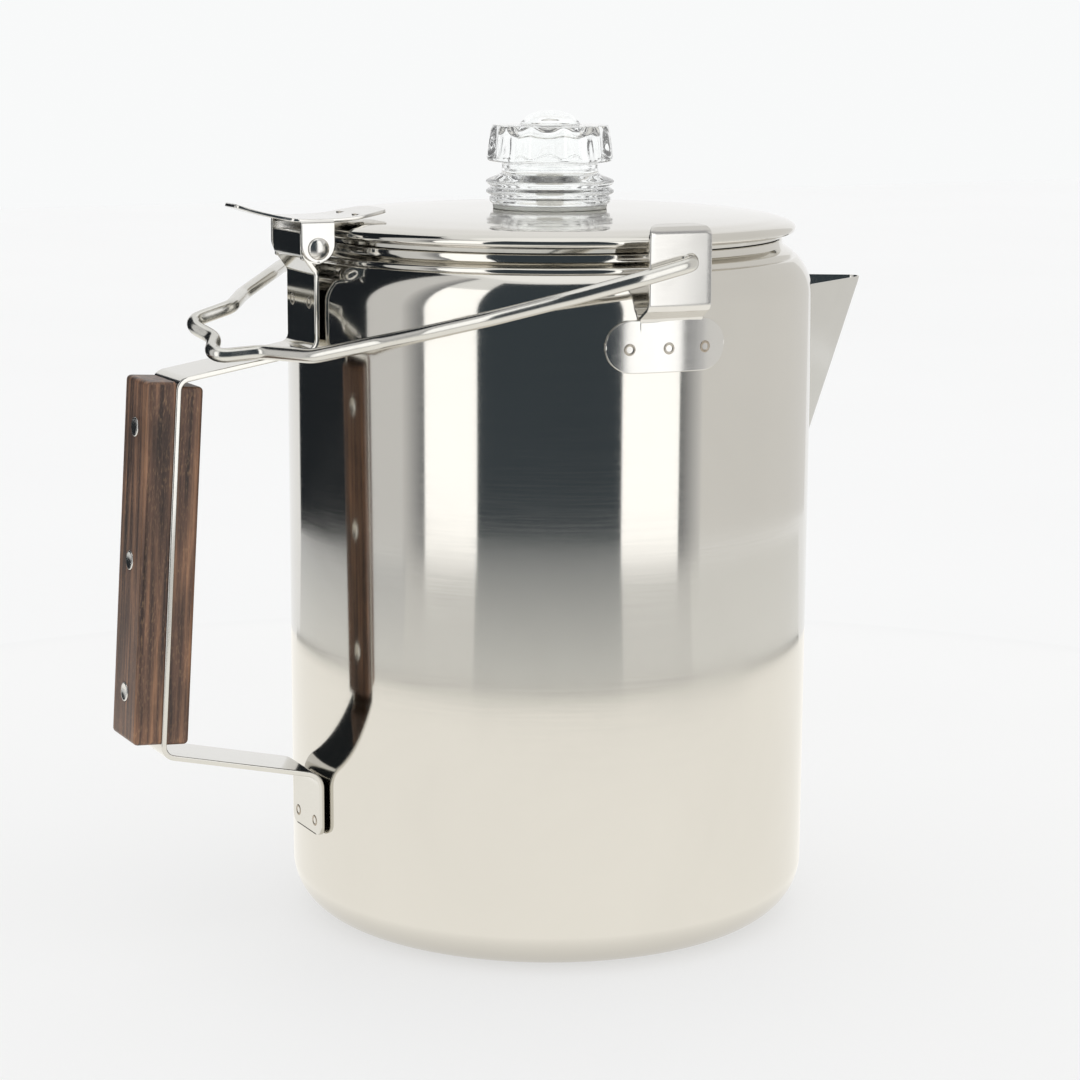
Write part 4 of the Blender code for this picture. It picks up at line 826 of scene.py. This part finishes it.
# bail ears: a stadium-shaped plate lying on the wall, its tongue bent up to hold the wire
ear = {"sheet": 1.2, "wide": 34.6, "tall": 14.0, "shift": -3.6, "below": 8.1, "tongue": 18.6, "stand": 4.8,
       "up": 8.6, "upFar": 4.4, "lean": 3.2, "corner": 5.0, "hole": 2.45}
earPlateZ = potWallTop - ear["below"]
earFace = potRadius + 0.04 + ear["sheet"] / 2
for name, side in (("near", -1), ("far", 1)):
    rows, normals = [], []
    tongueUp = ear["up" if name == "near" else "upFar"]
    shiftAt = ear["shift"]
    reach, radius = ear["wide"] / 2, ear["tall"] / 2
    marks = [-(reach - radius) + (reach - radius) * 2 * k / 12 for k in range(13)]
    ends = [reach - radius + radius * math.sin(math.pi / 2 * k / 10) for k in range(1, 11)]
    for x in [-e for e in reversed(ends)] + marks + ends:
        over = max(abs(x) - (reach - radius), 0)
        turn = math.asin((x + shiftAt) / earFace)
        normal = Vector((math.sin(turn), side * math.cos(turn), 0))
        rows.append((Vector((0, 0, earPlateZ)) + normal * earFace,
                     max(math.sqrt(radius ** 2 - over ** 2), 0.7)))
        normals.append(normal)
    plateShape = sheet(rows, (0, 0, 1), ear["sheet"], 0.3, 3, 1, normals)
    midX = shiftAt + 0.9
    foot = side * math.sqrt(earFace ** 2 - midX ** 2)
    stand = side * (potRadius + ear["stand"])
    line = roundCorners([
        ((midX, foot - side * 0.06, earPlateZ + 1.0), 0),
        ((midX, foot - side * 0.06, earPlateZ + 7.4), 2.2),
        ((midX, stand, earPlateZ + 10.4), 2.2), ((midX, stand, bailSpot.z + tongueUp), 2.2),
        ((midX, stand - side * ear["lean"], bailSpot.z + tongueUp + 0.8), 0)], 7)
    line = sampleSheet([(p, ear["tongue"] / 2) for p in line], 0.0, ear["corner"])
    tongueShape = sheet(line, (1, 0, 0), ear["sheet"], 0.3, 3, 12)
    # the root of the tongue lies round on the wall, and comes out flat higher up
    for v in tongueShape[0]:
        share = min(1.0, max(0.0, (v.z - (earPlateZ + 4.0)) / 8.0))
        share = share * share * (3 - 2 * share)
        turn = math.asin(v.x / earFace)
        drop = (earFace * math.cos(turn) - earFace * math.cos(math.asin(midX / earFace))) * (1 - share)
        v.y += side * drop
    node = "bail_ear_" + name
    wireHole = pin((0, side * (potRadius + ear["stand"]), bailSpot.z), (0, 1, 0), ear["hole"], 6, 40)
    makePiece("BailEar" + name.title(), [plateShape], sheetSteel, "pot", [node], joins=[tongueShape],
              holes=[wireHole], even=True)
    for k in range(1, 4):
        mark = "ear_weld_%s_%d" % (name, k)
        low, high = boxOf(mark)
        way = Vector(((low.x + high.x) / 2, (low.y + high.y) / 2, 0)).normalized()
        weldMark(mark, earFace + ear["sheet"] / 2, way, brownWeld if k == 3 else paleWeld, "pot")
print("bail ears made")

# bail: one wire bent by hand, so its two sides don't quite match
wire = {"radius": 2.0, "clear": 0.8}
wireAt = potRadius + ear["stand"] + ear["sheet"] / 2 + wire["clear"] + wire["radius"]
# degrees round the pot from the pivots, gap to the wall, height from the pivots on the near and far side
roundPot = [(10.9, 9.4, -3.6, -3.2), (24.0, 8.6, -8.6, -6.3), (37.8, 6.6, -14.0, -8.4),
            (50.0, 5.9, -18.3, -9.6), (60.3, 5.6, -21.7, -10.6), (72.8, 12.9, -26.3, -14.5)]
# distance from the wall, y, the two heights
overArm = [(18.0, 11.0, -26.3, -16.2), (32.0, 8.8, -27.3, -19.8)]
half = [(-(potRadius + d) * math.sin(math.radians(a)), (potRadius + d) * math.cos(math.radians(a)),
         near, far) for a, d, near, far in roundPot]
half += [(-(potRadius + d), y, near, far) for d, y, near, far in overArm]
nearSide = [Vector((x, -y, bailSpot.z + n)) for x, y, n, _ in half]
farSide = [Vector((x, y, bailSpot.z + f)) for x, y, _, f in reversed(half)]
pivotIn = potRadius + ear["stand"] - 2.8
corners = [Vector((0, -pivotIn, bailSpot.z)), Vector((0, -wireAt, bailSpot.z))] + nearSide
corners += [Vector((-(potRadius + 26.8), 0, bailSpot.z - 23.4))] + farSide
corners += [Vector((0, wireAt, bailSpot.z)), Vector((0, pivotIn, bailSpot.z))]
bends = [0, 2.6, 12, 22, 22, 14, 7, 5, 5, 3.2, 3.4, 3.2, 5, 5, 7, 14, 22, 22, 12, 2.6, 0]
bailLine = relax(roundCorners(list(zip(corners, bends)), 10), 0.7, 5)
makePiece("BailWire", [tube(bailLine, wire["radius"], 24)], wireSteel, "bail", ["bail"])
print("bail made")

# glass knob: hollow, fluted, with rings round its crown and a neck that locks under the lid
knob = {"flutes": 12, "fluteDeep": 0.9, "neck": 13.2, "wall": 3.0}
top, low, knobR = knobHigh.z, knobLow.z, knobHigh.y
sheetUnder = lidTop - lid["sheet"]
seat = lidTop + 1.4       # underside of the knob's skirt
lockTop = sheetUnder - 0.3
lugTop = lockTop - 1.7
bore = knob["neck"] - knob["wall"]
knobOuter = smoothRun([
    (0, top), (3.4, top - 0.35), (6.2, top - 1.5), (8.2, top - 3.3), (9.2, top - 4.0),
    (knobR - 2.8, top - 4.1),
    (knobR - 1.5, top - 4.7), (knobR - 0.7, top - 7.5), (knobR - 0.1, top - 12.6),
    (knobR - 0.1, top - 13.6), (knobR - 1.0, top - 14.3),
    (knobR - 4.1, top - 14.9), (knobR - 4.5, top - 15.6), (knobR - 4.4, seat + 8.7),
    (knobR - 2.6, seat + 7.8), (knobR - 0.2, seat + 6.7),
    (knobR - 0.2, seat + 5.8), (knobR - 1.4, seat + 4.8), (knobR - 0.2, seat + 3.9),
    (knobR - 0.2, seat + 3.1),
    (knobR - 1.5, seat + 2.3), (knobR - 1.0, seat + 1.6), (knobR - 1.2, seat + 0.5)], 5)
knobLine = knobOuter + [Vector(p) for p in (
    (knobR - 1.7, seat), (knob["neck"] + 0.3, seat), (knob["neck"], seat - 0.3), (knob["neck"], low + 0.4),
    (knob["neck"] - 0.4, low), (bore + 0.4, low), (bore, low + 0.4))]
knobLine += smoothRun([(bore, top - 9.0), (bore - 0.4, top - 7.4), (bore - 1.6, top - 6.1),
                       (bore - 4.0, top - 4.9),
                       (3.0, top - 4.1), (0, top - 3.9)], 4)


def fluted(r, z, turn):
    # shallow scallops round the crown, dying out above and below
    if r < 10.5 or not top - 14.8 < z < top - 4.05:
        return r
    fade = math.sin(math.pi * min(1, max(0, (top - 4.0 - z) / 10.8))) ** 0.6
    wave = abs(math.cos(knob["flutes"] * turn / 2))
    return r - knob["fluteDeep"] * fade * (wave ** 1.6)


knobLugs = []
for k in range(3):
    turn = Matrix.Rotation(math.radians(120 * k), 4, "Z")
    rows = [(Vector((x, 0, lugTop - 0.8)), 2.9) for x in (knob["neck"] - 0.9, knob["neck"] + 1.6)]
    knobLugs.append(placed(sheet(rows, (0, 1, 0), 1.55, 0.35), turn))
makePiece("GlassKnob", [lathe(knobLine, 192, radiusAt=fluted)], glass, "knob", ["glass_knob"],
          joins=knobLugs, sharp=50)
sealTop = seat - 0.04
makePiece("KnobSeal",
          [lathe([(knobR - 2.3, sealTop), (knobR - 2.05, sealTop - 0.2), (knobR - 2.0, sealTop - 0.4),
                              (knobR - 2.05, lidTop + 0.2), (knobR - 2.3, lidTop + 0.05),
                              (knob["neck"] + 0.5, lidTop + 0.05),
                              (knob["neck"] + 0.3, lidTop + 0.25), (knob["neck"] + 0.3, sealTop - 0.15),
                              (knob["neck"] + 0.5, sealTop)], 96, closed=True)], silicone, "lid",
                              ["knob_seal"])
ringLine = [(knob["neck"] + 6.8, lockTop), (knob["neck"] + 7.0, lockTop - 0.2),
            (knob["neck"] + 7.0, lockTop - 1.2),
            (knob["neck"] + 6.8, lockTop - 1.4), (knob["neck"] + 0.6, lockTop - 1.4),
            (knob["neck"] + 0.45, lockTop - 1.25), (knob["neck"] + 0.45, lockTop - 0.15),
            (knob["neck"] + 0.6, lockTop)]
notches = []
for k in range(3):
    turn = Matrix.Rotation(math.radians(60 + 120 * k), 4, "Z")
    rows = [(Vector((x, 0, lockTop - 0.7)), 3.6) for x in (knob["neck"] - 2, knob["neck"] + 2.3)]
    notches.append(placed(sheet(rows, (0, 1, 0), 6.0, 0.3), turn))
makePiece("KnobLockRing", [lathe(ringLine, 128, closed=True)], innerSteel, "lid", ["knob_lock_ring"],
          holes=notches)
print("knob made")

# pump: bell-shaped foot that catches the steam, stem, and the collar the basket stands on
pump = {"stem": 4.0, "wall": 0.9, "notch": 2.0}
footLow, footHigh = boxOf("pump_foot")
stemLow, stemHigh = boxOf("pump_stem")
stemR, footR, z0 = pump["stem"], footHigh.y, footLow.z
zTop = footHigh.z - 4.0
bell = smoothRun([(stemR + 1.4, zTop + 3.9), (stemR + 1.4, zTop + 0.6), (stemR + 3.0, zTop - 1.0),
                  (footR - 8, z0 + 5.0),
                  (footR - 0.8, z0 + 2.6), (footR, z0 + 1.8), (footR, z0 + 0.2)], 4)
bell += [Vector(p) for p in ((footR - 0.2, z0), (footR - 0.8, z0), (footR - 1.0, z0 + 0.2),
                             (footR - 1.0, z0 + 1.4),
                             (footR - 2.0, z0 + 1.9), (footR - 8.6, z0 + 4.0), (stemR + 2.2, zTop - 2.0),
                             (stemR + 0.3, zTop - 1.2),
                             (stemR + 0.3, zTop + 3.9), (stemR + 0.6, zTop + 4.0),
                             (stemR + 1.2, zTop + 4.0))]
steamGaps = [pin((footR * math.cos(math.tau * k / 6), footR * math.sin(math.tau * k / 6), z0 - 0.6),
                 (math.cos(math.tau * k / 6), math.sin(math.tau * k / 6), 0), pump["notch"], 8,
                 24) for k in range(6)]
makePiece("PumpFoot", [lathe(bell, 128, closed=True)], innerSteel, "pump", ["pump_foot"], holes=steamGaps)
stemBore = stemR - pump["wall"]
makePiece("PumpStem",
          [lathe([(stemR - 0.3, stemHigh.z), (stemR, stemHigh.z - 0.3), (stemR, stemLow.z + 0.3),
                              (stemR - 0.3, stemLow.z), (stemBore + 0.3, stemLow.z),
                              (stemBore, stemLow.z + 0.3),
                              (stemBore, stemHigh.z - 0.3), (stemBore + 0.3, stemHigh.z)], 64,
                              closed=True)],
          innerSteel, "pump", ["pump_stem"])
zr = boxOf("basket_rest")[1].z
makePiece("BasketRest",
          [lathe([(stemR + 2.7, zr), (stemR + 3.0, zr - 0.3), (stemR + 3.0, zr - 1.6),
                  (stemR + 1.6, zr - 3.1),
                                (stemR + 1.2, zr - 3.4), (stemR + 0.3, zr - 3.4), (stemR + 0.3, zr - 0.2),
                                (stemR + 0.5, zr)], 64,
                               closed=True)], innerSteel, "pump", ["basket_rest"])

# coffee basket and the cover that spreads the water over the grounds
basket = {"sheet": 0.9, "hole": 1.2, "coverHole": 1.0, "fit": 0.45}
basketLow, basketHigh = boxOf("coffee_basket")
cupR, zb, zt, thin = basketHigh.y - 2.0, basketLow.z, basketHigh.z, basket["sheet"]
tubeIn = stemR + basket["fit"]
cup = [(cupR + 1.5, zt), (cupR + 1.85, zt - 0.2), (cupR + 2.0, zt - 0.5), (cupR + 1.85, zt - 0.75),
       (cupR + 1.5, zt - thin),
       (cupR + 0.5, zt - thin - 0.15), (cupR + 0.1, zt - thin - 0.5), (cupR, zt - thin - 1.0),
       (cupR, zb + 3.0), (cupR - 0.3, zb + 1.6),
       (cupR - 1.2, zb + 0.5), (cupR - 3.0, zb), (tubeIn + 0.1, zb), (tubeIn, zb + 0.1), (tubeIn, zb + 5.9),
       (tubeIn + 0.2, zb + 6.0), (tubeIn + thin - 0.2, zb + 6.0), (tubeIn + thin, zb + 5.8),
       (tubeIn + thin, zb + thin),
       (cupR - 3.2, zb + thin), (cupR - 1.9, zb + 1.3), (cupR - 1.1, zb + 2.2), (cupR - thin, zb + 3.4),
       (cupR - thin, zt - 1.0),
       (cupR - 0.6, zt - 0.3), (cupR - 0.2, zt)]


def holeRings(first, step, rings, inFirst, inMore, spin, z, radius, long):
    holes = []
    for ring in range(rings):
        count = inFirst + inMore * ring
        for k in range(count):
            turn = math.tau * (k + spin(ring)) / count
            r = first + step * ring
            holes.append(pin((r * math.cos(turn), r * math.sin(turn), z), (0, 0, 1), radius, long, 16))
    return holes


makePiece("CoffeeBasket", [lathe(cup, 128, closed=True)], innerSteel, "basket", ["coffee_basket"],
          holes=holeRings(14, 9, 1 + int((cupR - 26) / 9), 6, 4, lambda ring: 0.5 * (ring % 2), zb,
                          basket["hole"], 6))
coverLow, coverHigh = boxOf("spreader_cover")
coverR, zc = coverHigh.y, coverLow.z
disc = [(tubeIn + 2.0, zc + 3.4), (coverR - 6.6, zc + 2.2), (coverR - 5.4, zc + 1.7),
        (coverR - 4.4, zc + thin + 0.1),
        (coverR - 3.6, zc + thin), (coverR - 0.2, zc + thin), (coverR, zc + thin - 0.2), (coverR, zc + 0.2),
        (coverR - 0.2, zc), (coverR - 4.2, zc),
        (coverR - 5.2, zc + 0.3), (coverR - 6.2, zc + 1.1), (tubeIn + 1.2, zc + 2.5),
        (tubeIn + 0.2, zc + 2.5),
        (tubeIn, zc + 2.7), (tubeIn, zc + 5.0), (tubeIn + 0.2, zc + 5.2), (tubeIn + 0.7, zc + 5.2),
        (tubeIn + 0.9, zc + 5.0)]
makePiece("SpreaderCover", [lathe(disc, 128, closed=True)], innerSteel, "spreader", ["spreader_cover"],
          holes=holeRings(12, 8, 1 + int((coverR - 24) / 8), 6, 5, lambda ring: 0.25, zc + 2,
                          basket["coverHole"], 10))
print("pump, basket and spreader made")

# studio: a pale turntable on a white floor, white and dark panels round it, a soft top light
studio = {"tableRadius": 402.0, "tableTall": 4.0, "floorSize": 6.0, "panelRadius": 650.0}


def plainFinish(name, pale, shade, rough, size, glow):
    # matt painted board lit from below as well, with the faint cloudiness of a rolled coat
    made, tree, shader = newMaterial(name)
    spot = addNode(tree, "TexCoord").outputs["Object"]
    cloud = addNode(tree, "TexNoise", {"Scale": 1 / (size * mm), "Detail": 3.0}, {"Vector": spot})
    tint = addNode(tree, "MixRGB", {1: linear(pale), 2: linear(shade)}, {0: cloud.outputs[0]})
    tree.links.new(tint.outputs[0], shader.inputs["Base Color"])
    tree.links.new(tint.outputs[0], shader.inputs["Emission Color"])
    shader.inputs["Emission Strength"].default_value = glow
    shader.inputs["Roughness"].default_value = rough
    shader.inputs["Specular IOR Level"].default_value = 0.05
    return made


def stageMesh(name, shapes, material):
    obj = bpy.data.objects.new(name, makeMesh(name, shapes))
    obj.data.materials.append(material)
    bpy.context.scene.collection.objects.link(obj)
    obj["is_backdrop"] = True
    return obj


floorPaint = plainFinish("satin white floor", "#A6A6A6", "#A4A4A4", 0.6, 300, 1.46)
tablePaint = plainFinish("white laminate turntable", "#A6A6A6", "#A4A4A4", 0.6, 200, 1.42)
tableR, tall = studio["tableRadius"], studio["tableTall"]
table = stageMesh("Turntable",
                  [lathe([(0, -0.02), (tableR - 1, -0.02), (tableR, -1.0), (tableR, -tall), (0, -tall)],
                         256)], tablePaint)
shade(table.data, 40)
s = studio["floorSize"] * 1000 / 2
stageMesh("StudioFloor",
          [([Vector((x, y, -tall)) for x, y in ((-s, -s), (s, -s), (s, s), (-s, s))], [(0, 1, 2, 3)])],
          floorPaint)
cameraTurn = math.radians(27.2)


def panel(name, start, end, low, high, glow, fade=None, strength=1.0, flat=False, lift=-1.5,
          radius=studio["panelRadius"]):
    # curved panel round the pot, seen only in reflections; degrees from the camera's side, + to its right,
    # heights in mm. A flat one lies on the floor between two radii and paints the floor's reflections of the
    # panels. It can fade to a second colour.
    made, tree, shader = newMaterial(name, Base_Color=(0, 0, 0, 1), Specular_IOR_Level=0.0,
                                     Emission_Strength=strength)
    share = addNode(tree, "Attribute", attribute_name="share")
    spot = addNode(tree, "TexCoord").outputs["Object"]
    cloud = addNode(tree, "TexNoise", {"Scale": 1 / (400 * mm), "Detail": 1.0}, {"Vector": spot})
    tint = addNode(tree, "MixRGB", {1: linear(glow), 2: linear(fade or glow)}, {0: share.outputs["Fac"]})
    uneven = addNode(tree, "MapRange", {"To Min": 0.97, "To Max": 1.03}, {0: cloud.outputs[0]})
    shown = addNode(tree, "VectorMath", links={0: tint.outputs[0], 1: uneven.outputs[0]},
                    operation="MULTIPLY")
    tree.links.new(shown.outputs[0], shader.inputs["Emission Color"])
    count = max(2, int(abs(end - start) / 4))
    verts, faces, shares = [], [], []
    for k in range(count + 1):
        turn = math.radians(start + (end - start) * k / count)
        x, y = math.sin(turn), -math.cos(turn)
        wx = x * math.cos(cameraTurn) + y * math.sin(cameraTurn)
        wy = -x * math.sin(cameraTurn) + y * math.cos(cameraTurn)
        if flat:
            verts += [Vector((wx * r, wy * r, lift)) for r in (low, high)]
            shares += [0.0, 1.0]
        else:
            verts += [Vector((wx * radius, wy * radius, z)) for z in (low, high)]
            shares += [k / count] * 2
        if k:
            faces.append((2 * k - 2, 2 * k, 2 * k + 1, 2 * k - 1))
    obj = stageMesh(name, [(verts, faces)], made)
    marks = obj.data.attributes.new("share", "FLOAT", "POINT")
    for k, value in enumerate(shares):
        marks.data[k].value = value
    for kind in ("camera", "diffuse", "transmission", "shadow"):
        setattr(obj, "visible_" + kind, False)
    return obj


# name, first and last degree, foot, head, what it gives back
panel("DarkLeft", -135, -80, 0, 1500, "#22262A")
panel("GreyLeft", -80, -62, 6, 1500, "#DEDEDE")
panel("SliverLeft", -62, -51.5, 0, 1500, "#DADADA", "#75777A")
panel("StripLeft", -51.5, -28.8, 0, 760, "#FFFFFF", strength=1.5)
panel("DarkCentre", -28.8, 29.5, 9, 1250, "#3C444A")
panel("StripRight", 29.5, 54.5, 0, 760, "#FFFFFF", strength=1.5)
panel("GapRight", 54.5, 65, 0, 1500, "#6E7073", "#DCDCDC")
panel("GreyRight", 65, 150, 8, 1500, "#E5E4E2")
panel("BackWall", 150, 222, 90, 1500, "#FFFFFF", strength=0.96, radius=1400)
# painted reflections: these flat cards are seen only in the pot. They paint the dark centre panel's
# reflection in the floor, darker further out, and the white strips' reflections beside it.
panel("FloorCentrePaintedReflection", -29.5, 30, 404, 700, "#DEDFDD", "#8C9093", flat=True)
panel("FloorLeftPaintedReflection", -60.5, -29.5, 404, 650, "#E8E8E6", "#DADAD9", flat=True)
panel("FloorRightPaintedReflection", 30, 60.5, 404, 650, "#E8E8E6", "#DADAD9", flat=True)
panel("FloorSideLeftPaintedReflection", -135, -60.5, 404, 650, "#EAEAE8", "#C4C6C8", flat=True)
panel("FloorSideRightPaintedReflection", 60.5, 140, 404, 650, "#F0F0EE", "#E8E8E6", flat=True)
# painted shadow: a dark strip, seen only in the pot, for the shadow line at the turntable's edge
panel("TableEdgePaintedShadow", -140, 140, 392, 402, "#70706E", flat=True, lift=0.06)
panel("TableGlow", -180, 180, 84, 392, "#FFFDF8", strength=1.07, flat=True, lift=0.06)
# painted shade: seen only in the pot, darker next to its foot and fading out to the bright card
panel("TableNear", -180, 180, 62, 84, "#CCCAC6", "#FFFDF8", strength=1.07, flat=True, lift=0.06)

world = bpy.data.worlds.new("Studio")
bpy.context.scene.world = world
world.use_nodes = True
sky = world.node_tree.nodes["Background"]
sky.inputs[0].default_value = linear("#FEFFFF")
sky.inputs[1].default_value = 0.95
soft = bpy.data.lights.new("TopSoftbox", "AREA")
soft.shape, soft.size, soft.energy = "DISK", 1.6, 1.2
lamp = bpy.data.objects.new("TopSoftbox", soft)
bpy.context.scene.collection.objects.link(lamp)
lamp.location = (0.1, -0.2, 1.9)
lamp.visible_camera = False
lamp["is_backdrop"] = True
print("studio made")

# camera
view = {"distance": 0.8, "height": 0.258, "lens": 93.0, "pitch": 10.67, "yaw": -0.17, "roll": 0.26}
lens = bpy.data.cameras.new("Camera")
lens.lens, lens.sensor_width = view["lens"], 36.0
lens.clip_start, lens.clip_end = 0.01, 100
camera = bpy.data.objects.new("Camera", lens)
bpy.context.scene.collection.objects.link(camera)
p, q, roll = (math.radians(view[key]) for key in ("pitch", "yaw", "roll"))
ahead = Vector((math.sin(q) * math.cos(p), math.cos(q) * math.cos(p), -math.sin(p)))
right = Vector((math.cos(q), -math.sin(q), 0))
up = right.cross(ahead)
rightRolled = right * math.cos(roll) + up * math.sin(roll)
upRolled = up * math.cos(roll) - right * math.sin(roll)
facing = Matrix((rightRolled, upRolled, -ahead)).transposed()
spin = Matrix.Rotation(-cameraTurn, 3, "Z")
place = spin @ Vector((0, -view["distance"], view["height"]))
camera.matrix_world = Matrix.Translation(place) @ (spin @ facing).to_4x4()
bpy.context.scene.camera = camera
bpy.context.scene.view_settings.view_transform = "Standard"

low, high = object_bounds()
